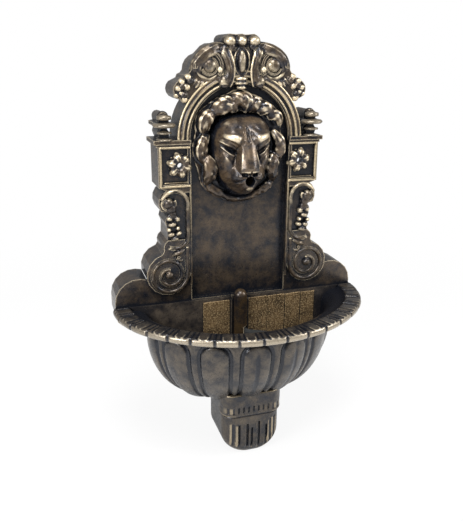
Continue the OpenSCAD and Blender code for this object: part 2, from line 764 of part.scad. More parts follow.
// Plan of the foot, drawn in by e
module foot_plan(e) {
    hx = foot_w / 2 - e;
    r = foot_r - e;
    translate([-hx, -foot_y + foot_r]) square([2 * hx, foot_y - foot_r - foot_back]);
    translate([-hx + r, -foot_y + e]) square([2 * hx - 2 * r, foot_r]);
    both() translate([hx - r, -foot_y + foot_r]) circle(r);
}

// Front view of the foot with its rounded lower end, drawn in by e
module foot_front(e) {
    r = foot_end_r - e;
    both() translate([foot_w / 2 + collar - foot_end_r - collar, foot_end_r]) circle(r);
    translate([-foot_w / 2 + foot_end_r, e]) square([foot_w - 2 * foot_end_r, foot_end_r]);
    translate([-foot_w / 2 + e - 10, foot_end_r]) square([foot_w + 20 - 2 * e, 120]);
}

module corbel() {
    top = floor_z - floor_t;
    color("#4b443b") hang() difference() {
        union() {
            difference() {
                intersection() {
                    union() {
                        translate([0, 0, -1]) linear_extrude(foot_h + 60) foot_plan(0);
                        translate([0, 0, foot_h - collar_h]) linear_extrude(60 + collar_h) foot_plan(-collar);
                        translate([0, 0, foot_h - collar_h - 5]) linear_extrude(3) foot_plan(-1.2);
                    }
                    slab(foot_back, foot_y + 5) foot_front(0);
                }
                plan(foot_h, rim_z) section_outer();
                translate([-foot_w, -foot_y - 5, top + 20]) cube([2 * foot_w, foot_y + 10, 100]);
                intersection() {
                    translate([0, 0, -2]) linear_extrude(foot_h - 6) foot_plan(4);
                    slab(foot_back + 4, foot_y + 5) foot_front(4);
                }
                translate([-foot_w / 2 + 12, -foot_y + 24, -5]) cube([foot_w - 24, foot_y - 34 - foot_back, 20]);
                for (i = [0 : flutes - 1]) {
                    x = (i - (flutes - 1) / 2) * 9.5;
                    translate([x, -foot_y - 0.5, 16]) cylinder(h = 26, r = 2);
                    translate([x, -foot_y - 0.5, 42]) sphere(2);
                }
            }
            translate([pocket_x0 + seat, -pocket_y1 + seat, foot_h - 6])
                cube([-2 * (pocket_x0 + seat), pocket_y1 - pocket_y0 - 2 * seat, top - foot_h + 6]);
        }
        translate([pocket_x0 + seat + 4, -pocket_y1 + seat + 4, foot_h - 15])
            cube([-2 * (pocket_x0 + seat + 4), pocket_y1 - pocket_y0 - 2 * seat - 8, top - foot_h + 11]);
        translate([-drain_x, -drain_y, 0]) cylinder(h = top + 1, r = drain_d / 2 + slip);
    }
}

module hose_cover() {
    color("#57493a") hang() difference() {
        union() {
            translate([0, -hose_front, cover_z]) cylinder(h = cover_h - cover_r, r = cover_r);
            translate([0, -hose_front, cover_z + cover_h - cover_r]) sphere(cover_r);
            translate([-cover_r, -hose_front, cover_z]) cube([2 * cover_r, hose_front - inside_y - seat, cover_h - cover_r]);
            translate([-cover_r - 2, -inside_y - seat - cover_lip, cover_z])
                cube([2 * cover_r + 4, cover_lip, cover_h - cover_r]);
        }
        translate([0, -hose_front, cover_z - 1]) cylinder(h = cover_h - cover_r + 1, r = cover_r - cover_t);
        translate([0, -hose_front, cover_z + cover_h - cover_r]) sphere(cover_r - cover_t);
        translate([-cover_r + cover_t, -hose_front, cover_z - 1])
            cube([2 * (cover_r - cover_t), hose_front, cover_h - cover_r + 1]);
        translate([-cover_r - 5, -inside_y - seat, cover_z - 1]) cube([2 * cover_r + 10, 30, cover_h + 5]);
        translate([0, -hose_front, cover_z - 1]) rotate([0, 0, hose_head + 180]) translate([0, -hose_r - 1.5, 0])
            cube([2 * cover_r, hose_d + 3, hose_level + 14 - cover_z]);
    }
}

module drain_bush() {
    color("#8c7a55") hang() translate([-drain_x, -drain_y, 0]) difference() {
        union() {
            translate([0, 0, floor_z + 1.5]) cylinder(h = 2.5, r = drain_flange / 2);
            translate([0, 0, floor_z - 30]) cylinder(h = 32, r = drain_d / 2);
        }
        translate([0, 0, floor_z - 31]) cylinder(h = 40, r = drain_bore / 2);
    }
}

module drain_gasket() {
    color("#222222") hang() translate([-drain_x, -drain_y, floor_z]) difference() {
        cylinder(h = 1.5, r = drain_flange / 2 - 0.5);
        translate([0, 0, -1]) cylinder(h = 4, r = drain_d / 2 + slip);
    }
}

module drain_nut() {
    color("#8c7a55") hang() translate([-drain_x, -drain_y, floor_z - floor_t - 4 - 7]) difference() {
        cylinder(h = 7, r = drain_d / 2 + 4, $fn = 6);
        translate([0, 0, -1]) cylinder(h = 9, r = drain_d / 2 + run);
    }
}

module drain_plug() {
    z = floor_z + 4;
    color("#222222") hang() translate([-drain_x, -drain_y, z]) {
        translate([0, 0, -10]) cylinder(h = 10, r = drain_bore / 2 - slip);
        cylinder(h = 3, r = drain_bore / 2 + 3);
        translate([0, 0, 7]) rotate([90, 0, 0]) rotate_extrude() translate([5, 0]) circle(1.2);
    }
}

// Places along the pump's axis
axis_z = floor_z + feet_h + motor_w / 2;
flange_x = pump_x + motor_l;
collar_x = flange_x + volute_l;
out_x = flange_x + 7;
cap_x = max(collar_x - 8, out_x + 6.5 + seat);
hose_low = axis_z + volute_r + 10;
hose_head = atan2(pump_y - hose_front, -out_x);
hose_level = hose_low + 6 + bend_r;

// A round bar along the pump's axis
module axle(x0, x1, r) {
    translate([x0, -pump_y, axis_z]) rotate([0, 90, 0]) cylinder(h = x1 - x0, r = r);
}

module pump_body() {
    h = motor_w / 2;
    color("#1f2022") hang() difference() {
        union() {
            translate([pump_x, -pump_y - h, axis_z - h + 4]) cube([motor_l, motor_w, motor_w - 8]);
            translate([pump_x, -pump_y - h + 4, axis_z - h]) cube([motor_l, motor_w - 8, motor_w]);
            for (s = [-1, 1]) for (t = [-1, 1])
                translate([pump_x, -pump_y + s * (h - 4), axis_z + t * (h - 4)]) rotate([0, 90, 0])
                    cylinder(h = motor_l, r = 4);
        }
        axle(pump_x + 6, flange_x + 1, magnet_r + 0.7);
        for (i = [0 : 4]) translate([pump_x + 4 + 6 * i, -pump_y - 12, axis_z + h - 1.2]) cube([3, 24, 3]);
    }
}

module volute() {
    color("#26282b") hang() difference() {
        union() {
            axle(flange_x, collar_x, volute_r);
            translate([out_x, -pump_y, axis_z]) cylinder(h = volute_r + 4, r = 6.5);
        }
        axle(flange_x - 1, flange_x + 12, impeller_r + 2);
        axle(flange_x + 14, collar_x + 1, volute_r - 2);
        difference() {
            axle(flange_x + 11, flange_x + 15, 8);
            axle(flange_x + 10, flange_x + 16, 3);
            for (a = [0, 120, 240]) translate([flange_x + 12, -pump_y, axis_z]) rotate([a, 0, 0])
                translate([0, -1, 0]) cube([2, 2, 9]);
        }
        axle(flange_x + 11, flange_x + 13, shaft_r + run);
        translate([out_x, -pump_y, axis_z + impeller_r - 2]) cylinder(h = 30, r = 4.5);
    }
}

module pump_shaft() {
    color("#e8e6df") hang() axle(pump_x + 6, flange_x + 13, shaft_r);
}

module impeller() {
    color("#d9d9d4") hang() difference() {
        union() {
            axle(pump_x + 8, flange_x + 1, magnet_r);
            axle(flange_x + 1, flange_x + 2.5, impeller_r);
            axle(flange_x + 1, flange_x + 10, 4);
            for (i = [0 : blades - 1]) translate([flange_x + 2, -pump_y, axis_z]) rotate([360 / blades * i, 0, 0])
                translate([0, -0.8, 3]) cube([7, 1.6, impeller_r - 3.3]);
        }
        axle(pump_x, flange_x + 20, shaft_r + run);
    }
}

module outlet_adaptor() {
    z = axis_z + volute_r + 4;
    color("#26282b") hang() translate([out_x, -pump_y, 0]) difference() {
        union() {
            translate([0, 0, z]) cylinder(h = 6, r = 8);
            translate([0, 0, z - 6 + 0]) cylinder(h = 6, r = 4.5 - run);
            translate([0, 0, z + 5]) cylinder(h = 9, r = hose_bore - run);
        }
        translate([0, 0, z - 10]) cylinder(h = 40, r = 3);
    }
}

module pump_filter() {
    color("#33363a") hang() difference() {
        axle(cap_x, collar_x + 9, volute_r + 2);
        axle(cap_x - 1, collar_x + 7, volute_r + slip);
        for (i = [0 : slots - 1]) translate([collar_x + 5, -pump_y, axis_z]) rotate([360 / slots * i, 0, 0])
            translate([0, -1, 7]) cube([6, 2, 7.5]);
        axle(collar_x, collar_x + 10, 2.5 + run);
    }
}

module flow_dial() {
    color("#4c5157") hang() difference() {
        union() {
            axle(collar_x + 9 + seat, collar_x + 11.5, 15.5);
            axle(collar_x + 5, collar_x + 10, 2.5);
            axle(collar_x + 5, collar_x + 7 - seat, 3.6);
            translate([collar_x + 11, -pump_y - 1.5, axis_z - 12]) cube([3, 3, 24]);
        }
        for (a = [45, 225]) translate([collar_x + 8, -pump_y, axis_z]) rotate([a, 0, 0])
            translate([0, -5, 6]) cube([5, 10, 8]);
    }
}

module suction_feet() {
    color("#222222") hang() for (sx = [0, 1]) for (sy = [-1, 1])
        translate([pump_x + 7 + sx * (motor_l - 14), -pump_y + sy * (motor_w / 2 - 9), floor_z]) {
            cylinder(h = feet_h - 1.5, r1 = 6, r2 = 3);
            translate([0, 0, feet_h - 2]) cylinder(h = 2, r = 3);
        }
}

module cable_gland() {
    color("#222222") hang() difference() {
        union() {
            axle(pump_x - 5, pump_x, 5);
            axle(pump_x - 8, pump_x - 4, 3.6);
        }
        axle(pump_x - 9, pump_x - 2, 2.2);
    }
}

back_panel();
lion_mask();
mask_screws();
spout();
spout_nut();
elbow();
riser_hose();
hose_clips();
clip_screws();
basin();
basin_screws();
corbel();
hose_cover();
drain_bush();
drain_gasket();
drain_nut();
drain_plug();
pump_body();
volute();
pump_shaft();
impeller();
outlet_adaptor();
pump_filter();
flow_dial();
suction_feet();
cable_gland();
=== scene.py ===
# %% [markdown]
# # Wall fountain with a lion mask
# The real object is a hollow plastic moulding, painted like old bronze: a dark base coat, a brown
# bronze coat over it, and pale gold rubbed on whatever stands proud. The solids of the construction
# model give every place and size. This script keeps those that are right as they are, and puts the
# carved parts over them: crest, scrollwork, rosettes, lion, bowl and foot.

# %% Load the construction model
from math import atan2, cos, exp, hypot, pi, radians, sin, sqrt
import bpy
import bmesh
import numpy as np
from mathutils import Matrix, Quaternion, Vector


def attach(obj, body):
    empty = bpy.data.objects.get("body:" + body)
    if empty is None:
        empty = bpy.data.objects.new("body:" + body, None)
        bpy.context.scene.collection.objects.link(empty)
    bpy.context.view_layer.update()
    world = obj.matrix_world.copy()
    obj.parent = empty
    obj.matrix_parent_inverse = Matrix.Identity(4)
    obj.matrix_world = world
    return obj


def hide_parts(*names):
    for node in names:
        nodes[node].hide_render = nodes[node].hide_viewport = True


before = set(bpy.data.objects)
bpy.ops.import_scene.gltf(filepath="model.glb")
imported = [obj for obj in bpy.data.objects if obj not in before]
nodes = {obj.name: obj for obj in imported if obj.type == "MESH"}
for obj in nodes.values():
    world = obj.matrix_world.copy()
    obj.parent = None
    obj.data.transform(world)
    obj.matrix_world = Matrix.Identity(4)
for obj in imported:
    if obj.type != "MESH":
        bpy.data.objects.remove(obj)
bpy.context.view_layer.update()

# %% [markdown]
# ## Camera
# The photograph was taken from the left and from above, with the fountain hanging upright. The
# camera stands a little over a metre away, turned 17.5 degrees and tipped 18.6 degrees down.

# %% Place the camera
turn, tip, roll = (radians(a) for a in (17.53, 18.55, 0.32))
bpy.ops.object.camera_add(location=(-0.2935, -0.9429, 0.1558))
camera = bpy.context.object
camera.name = "photo_camera"
forward = Vector((sin(turn) * cos(tip), cos(turn) * cos(tip), -sin(tip)))
look = forward.to_track_quat("-Z", "Y") @ Quaternion((0, 0, 1), roll)
camera.rotation_euler = look.to_euler()
camera.data.sensor_width = 36
camera.data.lens = 42.43
bpy.context.scene.camera = camera
print("camera at", tuple(round(c, 3) for c in camera.location))

# %% [markdown]
# ## Node helpers
# The background, the lamps' surroundings and every paint below are small node trees. A few short
# functions add nodes, set them and link them.

# %% Node helpers
def tint(r, g, b):
    """A colour written as it looks on a screen, 0 to 255, turned to linear light."""
    def lin(c):
        c = c / 255
        return c / 12.92 if c <= 0.04045 else ((c + 0.055) / 1.055) ** 2.4
    return (lin(r), lin(g), lin(b), 1)


def new_tree(owner):
    """The emptied node tree of a material or a world."""
    owner.use_nodes = True
    owner.node_tree.nodes.clear()
    return owner.node_tree


def add(tree, kind, values=(), **settings):
    """A node of one kind with its settings, and values for some of its inputs."""
    node = tree.nodes.new("ShaderNode" + kind)
    for label, value in settings.items():
        setattr(node, label, value)
    for key, value in dict(values).items():
        node.inputs[key].default_value = value
    return node


def wire(tree, *pairs):
    """Links given as (from socket, to socket)."""
    for a, b in pairs:
        tree.links.new(a, b)


def step(tree, low, high, source, to_low=0.0, to_high=1.0):
    """A smooth change between two values of a mask."""
    span = enumerate((low, high, to_low, to_high), 1)
    node = add(tree, "MapRange", span, interpolation_type="SMOOTHSTEP")
    tree.links.new(source, node.inputs[0])
    return node.outputs[0]


def maths(tree, kind, a, b):
    """One arithmetic node on sockets or numbers."""
    node = add(tree, "Math", operation=kind, use_clamp=kind in ("ADD", "SUBTRACT"))
    for i, v in enumerate((a, b)):
        if isinstance(v, (int, float)):
            node.inputs[i].default_value = v
        else:
            tree.links.new(v, node.inputs[i])
    return node.outputs[0]


def blend(tree, factor, a, b):
    """Two colours mixed by a mask."""
    node = add(tree, "Mix", data_type="RGBA")
    wire(tree, (factor, node.inputs["Factor"]), (a, node.inputs[6]), (b, node.inputs[7]))
    return node.outputs[2]


def clouds(tree, scale, detail, rough=0.6):
    """A noise pattern in the object's own metres."""
    pattern = add(tree, "TexNoise", {"Scale": scale, "Detail": detail, "Roughness": rough})
    tree.links.new(add(tree, "TexCoord").outputs["Object"], pattern.inputs["Vector"])
    return pattern.outputs["Fac"]


print("a mid grey is", round(tint(128, 128, 128)[0], 3), "in linear light")

# %% [markdown]
# ## Light, floor and background
# A pale floor under the foot takes a soft shadow. Two broad soft boxes and a pale surrounding give
# the even light of a catalogue picture, with one more lamp from above. What the camera sees behind
# the object is plain white, and the floor fades to white with distance.

# %% Floor
bpy.ops.mesh.primitive_plane_add(size=8, location=(0, 0, -0.4665))
floor = bpy.context.object
floor.name = "studio_floor"

paper = bpy.data.materials.new("studio_paper")
tree = new_tree(paper)
far = add(tree, "VectorMath", operation="LENGTH")
tree.links.new(add(tree, "TexCoord").outputs["Object"], far.inputs[0])
fade = step(tree, 0.25, 1.3, far.outputs["Value"], 0.88, 1.0)
white = maths(tree, "MULTIPLY", add(tree, "LightPath").outputs["Is Camera Ray"], fade)
paper_look = add(tree, "MixShader")
wire(tree, (white, paper_look.inputs[0]), (paper_look.outputs[0], add(tree, "OutputMaterial").inputs["Surface"]),
     (add(tree, "BsdfDiffuse", {"Color": (0.9, 0.9, 0.9, 1)}).outputs[0], paper_look.inputs[1]),
     (add(tree, "Emission").outputs[0], paper_look.inputs[2]))
floor.data.materials.append(paper)
print("floor at", round(floor.location.z, 4), "m")

# %% Surroundings and lamps
world = bpy.data.worlds.new("studio")
bpy.context.scene.world = world
sky = new_tree(world)
sky_look = add(sky, "MixShader")
wire(sky, (add(sky, "LightPath").outputs["Is Camera Ray"], sky_look.inputs[0]),
     (add(sky, "Background", {"Strength": 0.45}).outputs[0], sky_look.inputs[1]),
     (add(sky, "Background", {"Color": (1, 1, 1, 1)}).outputs[0], sky_look.inputs[2]),
     (sky_look.outputs[0], add(sky, "OutputWorld").inputs["Surface"]))


def soft_box(name, place, target, size, watts):
    """A square area lamp at one place, facing another."""
    bpy.ops.object.light_add(type="AREA", location=place)
    lamp = bpy.context.object
    lamp.name = name
    lamp.data.size = size
    lamp.data.energy = watts
    aim = Vector(target) - Vector(place)
    lamp.rotation_euler = aim.to_track_quat("-Z", "Y").to_euler()


soft_box("top_box", (-0.2, -0.7, 1.3), (0, -0.05, 0), 0.7, 26)
soft_box("left_box", (-1.3, -0.9, 0.5), (0, -0.1, -0.1), 0.6, 20)
soft_box("right_box", (1.3, -0.7, 0.6), (0, -0.1, -0.1), 0.6, 14)
bpy.context.scene.view_settings.view_transform = "Standard"

# %% [markdown]
# ## The paint
# Three coats make the finish: nearly black blue in the hollows, brown bronze with cloudy patches on
# open ground, and pale gold where a dry brush met raised forms. Two node groups are shared by every
# bronze material. One finds edges and hollows by comparing a rounded normal with the true one. The
# other mixes the three coats from a rub mask, a hollow mask and a cloud pattern.

# %% The two shared groups
def new_group(name, inputs, outputs):
    """An empty shader node group, and its sockets inside."""
    group = bpy.data.node_groups.new(name, "ShaderNodeTree")
    for label, kind, value in inputs:
        socket = group.interface.new_socket(label, in_out="INPUT", socket_type="NodeSocket" + kind)
        socket.default_value = value
    for label, kind in outputs:
        group.interface.new_socket(label, in_out="OUTPUT", socket_type="NodeSocket" + kind)
    return group, group.nodes.new("NodeGroupInput").outputs, group.nodes.new("NodeGroupOutput").inputs


edges, e_in, e_out = new_group("edges_and_hollows", [("Width", "Float", 0.0025)],
                               [("Edge", "Float"), ("Hollow", "Float")])
rounded = add(edges, "Bevel", samples=6)
compare = add(edges, "VectorMath", operation="DOT_PRODUCT")
shade = add(edges, "AmbientOcclusion", {"Distance": 0.02}, samples=8).outputs["AO"]
wire(edges, (e_in["Width"], rounded.inputs["Radius"]), (rounded.outputs[0], compare.inputs[0]),
     (add(edges, "NewGeometry").outputs["Normal"], compare.inputs[1]))
open_air = step(edges, 0.35, 0.95, shade)
edge_raw = step(edges, 0.99, 0.86, compare.outputs["Value"])
edge_open = maths(edges, "MULTIPLY", edge_raw, step(edges, 0.45, 0.8, shade))
wire(edges, (edge_open, e_out["Edge"]), (maths(edges, "SUBTRACT", 1.0, open_air), e_out["Hollow"]))

GOLD, BRONZE, DARK = (202, 186, 158), (96, 81, 63), (24, 27, 35)
coats, c_in, c_out = new_group(
    "three_coats",
    [("Rub", "Float", 0.0), ("Hollow", "Float", 0.0), ("Brown", "Float", 0.5), ("Dark coat", "Color", tint(*DARK)),
     ("Bronze coat", "Color", tint(*BRONZE)), ("Gold coat", "Color", tint(*GOLD))],
    [("Color", "Color"), ("Roughness", "Float"), ("Height", "Float")])
patches, grain = clouds(coats, 46, 6, 0.7), clouds(coats, 320, 3, 0.7)
brown = maths(coats, "MULTIPLY", step(coats, 0.30, 0.72, patches), c_in["Brown"])
brown = maths(coats, "SUBTRACT", brown, maths(coats, "MULTIPLY", c_in["Hollow"], 0.9))
gold = step(coats, 0.36, 0.90, maths(coats, "ADD", c_in["Rub"], maths(coats, "MULTIPLY", grain, 0.22)))
under = blend(coats, brown, c_in["Dark coat"], c_in["Bronze coat"])
wire(coats, (blend(coats, gold, under, c_in["Gold coat"]), c_out["Color"]),
     (step(coats, 0.3, 0.7, grain, 0.24, 0.42), c_out["Roughness"]),
     (maths(coats, "ADD", maths(coats, "MULTIPLY", grain, 0.25), patches), c_out["Height"]))
print("shared groups", edges.name, coats.name)


# %% [markdown]
# Each bronze material joins the two groups. Carved pieces carry a painted attribute that was
# measured from their own form: high on crests, low in creases. On the bowl and the lion, and lower
# down on the scrollwork, mouldings and locks, it also holds painted shade, and on the lion painted
# highlights. Plain pieces use the edge mask alone.

# %% Bronze materials
def bronze(name, carved, brown, rub_gain=1.0, gold=GOLD, mid=BRONZE, dark=DARK, stipple=False):
    """A painted bronze. Carved pieces are rubbed by their attribute, stipple dabs gold all over."""
    look = bpy.data.materials.new(name)
    t = new_tree(look)
    face = add(t, "BsdfPrincipled", {"Metallic": 0.55, "Coat Weight": 0.25, "Coat Roughness": 0.25})
    find = add(t, "Group", node_tree=edges)
    find.inputs["Width"].default_value = 0.0016 if carved else 0.0026
    mix = add(t, "Group", {"Brown": brown, "Dark coat": tint(*dark), "Bronze coat": tint(*mid),
                           "Gold coat": tint(*gold)}, node_tree=coats)
    relief = add(t, "Bump", {"Strength": 0.12, "Distance": 0.001})
    if carved:
        painted = add(t, "Attribute", attribute_name="rub").outputs["Fac"]
        rub = step(t, 0.50, 0.93, painted, 0.0, rub_gain)
        hollow = maths(t, "MULTIPLY", find.outputs["Hollow"], 0.6)
        hollow = maths(t, "ADD", step(t, 0.50, 0.22, painted), hollow)
    else:
        rub = maths(t, "MULTIPLY", find.outputs["Edge"], rub_gain)
        hollow = find.outputs["Hollow"]
    if stipple:
        rub = maths(t, "ADD", rub, step(t, 0.46, 0.62, clouds(t, 420, 2, 0.8), 0.0, 0.75))
    wire(t, (rub, mix.inputs["Rub"]), (hollow, mix.inputs["Hollow"]),
         (mix.outputs["Color"], face.inputs["Base Color"]),
         (mix.outputs["Roughness"], face.inputs["Roughness"]), (mix.outputs["Height"], relief.inputs["Height"]),
         (relief.outputs[0], face.inputs["Normal"]), (face.outputs[0], add(t, "OutputMaterial").inputs["Surface"]))
    return look


panel_bronze = bronze("panel_bronze", carved=False, brown=0.75)
bowl_bronze = bronze("bowl_bronze", carved=True, brown=0.85, rub_gain=0.7, gold=(168, 156, 136), mid=(92, 83, 71))
print("bronze materials", panel_bronze.name, bowl_bronze.name)

# %% [markdown]
# ## Carving helpers
# A carved form is built as a sculptor would add clay: egg-shaped lumps and tapering rolls are laid
# over each other, fused by a voxel remesh, and smoothed. Places are given in millimetres: across,
# height above the underside of the foot, and distance out from the wall.

# %% Clay helpers
DATUM = 466  # millimetres from the underside of the foot up to the screws, where the frame has its origin


def at(x, z, out):
    """A place in metres from millimetres across, up and out."""
    return (x / 1000, -out / 1000, (z - DATUM) / 1000)


def height_of(co):
    """A point's height in millimetres above the underside of the foot."""
    return co.z * 1000 + DATUM


def lump(x, z, out, rx, rz, ro, lean=0.0):
    """An egg-shaped lump of clay with its half sizes, leaned in the face plane."""
    bpy.ops.mesh.primitive_uv_sphere_add(segments=20, ring_count=12, radius=1, location=at(x, z, out),
                                         scale=(rx / 1000, ro / 1000, rz / 1000), rotation=(0, radians(lean), 0))
    return bpy.context.object


def rope(points, sides=3):
    """A tapering roll of clay along points given as (across, up, out, radius)."""
    bpy.ops.curve.primitive_nurbs_path_add()
    clay = bpy.context.object
    line = clay.data.splines[0]
    if len(points) > 5:
        line.points.add(len(points) - 5)
    line.order_u = 3
    line.use_endpoint_u = True
    for i in range(len(line.points)):
        x, z, out, r = points[min(i, len(points) - 1)]
        line.points[i].co = (*at(x, z, out), 1)
        line.points[i].radius = r
    clay.data.bevel_depth = 0.001
    clay.data.bevel_resolution = sides
    clay.data.resolution_u = 6
    clay.data.use_fill_caps = True
    bpy.ops.object.convert(target="MESH")
    return bpy.context.object


def turn_points(x, z, out, r0, r1, a0, a1, thick0, thick1):
    """Points of a roll that winds round a centre, from one radius and thickness to another."""
    n = max(4, int(abs(a1 - a0) / 18))
    row = []
    for i in range(n + 1):
        t = i / n
        a, r = radians(a0 + (a1 - a0) * t), r0 + (r1 - r0) * t
        row.append((x + r * cos(a), z + r * sin(a), out, thick0 + (thick1 - thick0) * t))
    return row


def mirror_parts(parts):
    """A copy of each lump or roll on the other side of the middle."""
    made = []
    for part in parts:
        twin = part.copy()
        twin.data = part.data.copy()
        bpy.context.collection.objects.link(twin)
        for v in twin.data.vertices:
            v.co = part.matrix_world @ v.co
            v.co.x = -v.co.x
        twin.matrix_world.identity()
        twin.data.flip_normals()
        made.append(twin)
    return made


print("a full turn of a roll has", len(turn_points(0, DATUM, 0, 10, 10, 0, 360, 1, 1)), "points")


# %% Joining, changing and cutting
def only(*pieces):
    """Selects these pieces and nothing else. The first one is active."""
    bpy.ops.object.select_all(action="DESELECT")
    for piece in pieces:
        piece.select_set(True)
    bpy.context.view_layer.objects.active = pieces[0]


def join(parts):
    """Several pieces joined into the first."""
    only(*parts)
    bpy.ops.object.join()
    return bpy.context.object


def modify(piece, kind, **settings):
    """Changes a piece by one modifier and leaves it selected."""
    only(piece)
    change = piece.modifiers.new("change", kind)
    for label, value in settings.items():
        setattr(change, label, value)
    bpy.ops.object.modifier_apply(modifier=change.name)


def drill_out(piece, drill):
    """Cuts a drill out of a piece and takes the drill away."""
    modify(piece, "BOOLEAN", operation="DIFFERENCE", solver="EXACT", object=drill)
    bpy.data.objects.remove(drill)


print("helpers for single pieces ready")

# %% [markdown]
# Larger forms are skins of points that a rule lays out. Each finished piece is named, gets its
# material and slot, and is handed to the body that it rides on.

# %% Skins and finished pieces
def face_outwards(mesh, weld=0.0):
    """Welds points closer than a distance and turns the faces outwards."""
    work = bmesh.new()
    work.from_mesh(mesh)
    if weld:
        bmesh.ops.remove_doubles(work, verts=work.verts, dist=weld)
    bmesh.ops.recalc_face_normals(work, faces=work.faces)
    work.to_mesh(mesh)
    work.free()


def skin_piece(name, points, faces, weld=0.0, marks=(), smooth=True):
    """A closed skin from places in millimetres, with a rub mark for each where they are given."""
    mesh = bpy.data.meshes.new(name)
    mesh.from_pydata([at(*p) for p in points], [], faces)
    if len(marks):
        mesh.attributes.new("rub", "FLOAT", "POINT").data.foreach_set("value", marks)
    piece = bpy.data.objects.new(name, mesh)
    bpy.context.collection.objects.link(piece)
    face_outwards(mesh, weld)
    for face in mesh.polygons:
        face.use_smooth = smooth and len(face.vertices) < 5
    return piece


def finish_piece(piece, name, look, body="fountain", stands_for=()):
    """Names a finished piece, puts its place in its mesh, and hands it to its body."""
    only(piece)
    bpy.ops.object.transform_apply(location=True, rotation=True, scale=True)
    piece.name = name
    piece.data.name = name
    piece.data.materials.clear()
    piece.data.materials.append(look)
    if stands_for:
        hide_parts(*stands_for)
    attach(piece, body)
    print(name, len(piece.data.polygons), "faces")
    return piece


print("skin helpers ready")

# %% [markdown]
# A dry brush leaves gold on what stands proud. Each point is compared with its surroundings, evened
# out over a few steps and over many, and the difference is stored as its rub.

# %% Rub, waves and carving
BROAD_STEPS, BROAD_REACH = 7, 2.6


def read(mesh, what):
    """The places or the normals of a mesh's points, in rows of three."""
    row = np.empty(len(mesh.vertices) * 3)
    mesh.vertices.foreach_get(what, row)
    return row.reshape(-1, 3)


def measure_rub(piece, steps, reach, fine=0.7, wide=0.4):
    """Stores how far each point stands out of its surroundings, on a fine and a broad scale, as rub."""
    mesh = piece.data
    n = len(mesh.vertices)
    co, normal = read(mesh, "co"), read(mesh, "normal")
    ends = np.empty(len(mesh.edges) * 2, int)
    mesh.edges.foreach_get("vertices", ends)
    a, b = ends.reshape(-1, 2).T
    count = np.maximum(np.bincount(ends, minlength=n), 1)[:, None]
    soft, stand = co.copy(), np.zeros(n)
    for turn in range(steps * BROAD_STEPS):
        near = np.empty_like(soft)
        for k in range(3):
            near[:, k] = np.bincount(a, soft[b, k], n) + np.bincount(b, soft[a, k], n)
        soft = 0.5 * soft + 0.5 * near / count
        if turn + 1 == steps:
            stand = ((co - soft) * normal).sum(1) / reach
    broad = ((co - soft) * normal).sum(1) / (reach * BROAD_REACH)
    layer = mesh.attributes.get("rub") or mesh.attributes.new("rub", "FLOAT", "POINT")
    rub = np.clip(0.5 + 0.5 * (fine * stand + wide * broad), 0, 1)
    layer.data.foreach_set("value", rub.astype(np.float32))
    low, high = (float(v) * reach * 1000 for v in (stand.min(), stand.max()))
    print(piece.name, "stands out from", round(low, 2), "to", round(high, 2), "mm")


def uneven(piece, depth):
    """Pushes the skin in and out by slow waves, as a cast and hand-finished surface has."""
    co, normal = read(piece.data, "co"), read(piece.data, "normal")
    x, y, z = (co * 1000).T
    wave = np.sin(0.31 * x + 1.6 * np.sin(0.13 * z)) * np.sin(0.35 * z + 0.8 * np.sin(0.19 * x))
    wave = wave + 0.5 * np.sin(0.47 * x + 0.41 * z + 0.3 * y)
    piece.data.vertices.foreach_set("co", (co + normal * (depth * wave)[:, None]).ravel())
    piece.data.update()


def carve(parts, name, look, grain_mm, soften, rub_steps, reach, waves=0.0):
    """Fuses clay parts into one skin, softens it, and measures where a brush would rub."""
    piece = join(parts)
    piece.name = name
    bpy.ops.object.transform_apply(location=True, rotation=True, scale=True)
    modify(piece, "REMESH", mode="VOXEL", voxel_size=grain_mm / 1000)
    modify(piece, "SMOOTH", factor=0.5, iterations=soften)
    bpy.ops.object.shade_smooth()
    if waves:
        uneven(piece, waves)
    measure_rub(piece, rub_steps, reach)
    return finish_piece(piece, name, look)


print("rub and carving helpers ready")

# %% [markdown]
# ## Bowl
# The bowl is a half-round basin with a gadrooned rim: seventeen tongues hang over the edge, and
# seven arched flutes run down the body. Its plan is two corner arcs and a flatter front arc. A
# lathe can't turn that, so rings of points are laid along the plan, each ring a section of the
# wall, and each point is pushed in or out by the height of the tongue or flute it lies on.

# %% The bowl's plan and section
RIM_W, RIM_DEPTH, CORNER, BACK_Y = 410.0, 225.0, 148.0, 52.3
RIM_Z, BODY_Z, FLOOR_Z = 248.9, 199.9, 110.0
side_x = RIM_W / 2 - CORNER
reach = RIM_DEPTH - BACK_Y - CORNER
front_c = (side_x ** 2 - reach ** 2) / (2 * reach)
front_r = RIM_DEPTH - BACK_Y + front_c
sweep = atan2(side_x, front_c)
side_len = (pi / 2 - sweep) * CORNER
front_len = 2 * sweep * front_r
plan_len = 2 * side_len + front_len


def station(s):
    """Centre, outward direction and radius of the rim's edge at a distance along the plan, from the left."""
    if s < side_len:
        a = pi + s / CORNER
        return (-side_x, BACK_Y), (cos(a), -sin(a)), CORNER
    if s > side_len + front_len:
        a = (plan_len - s) / CORNER
        return (side_x, BACK_Y), (cos(a), sin(a)), CORNER
    a = (s - side_len) / front_r - sweep
    return (0, BACK_Y - front_c), (sin(a), cos(a)), front_r


def bend(cx, cz, r, a0, a1, n):
    """Points of an arc in the wall's section: distance inwards and height."""
    turns = [radians(a0 + (a1 - a0) * i / n) for i in range(n + 1)]
    return [(cx + r * cos(a), cz + r * sin(a)) for a in turns]


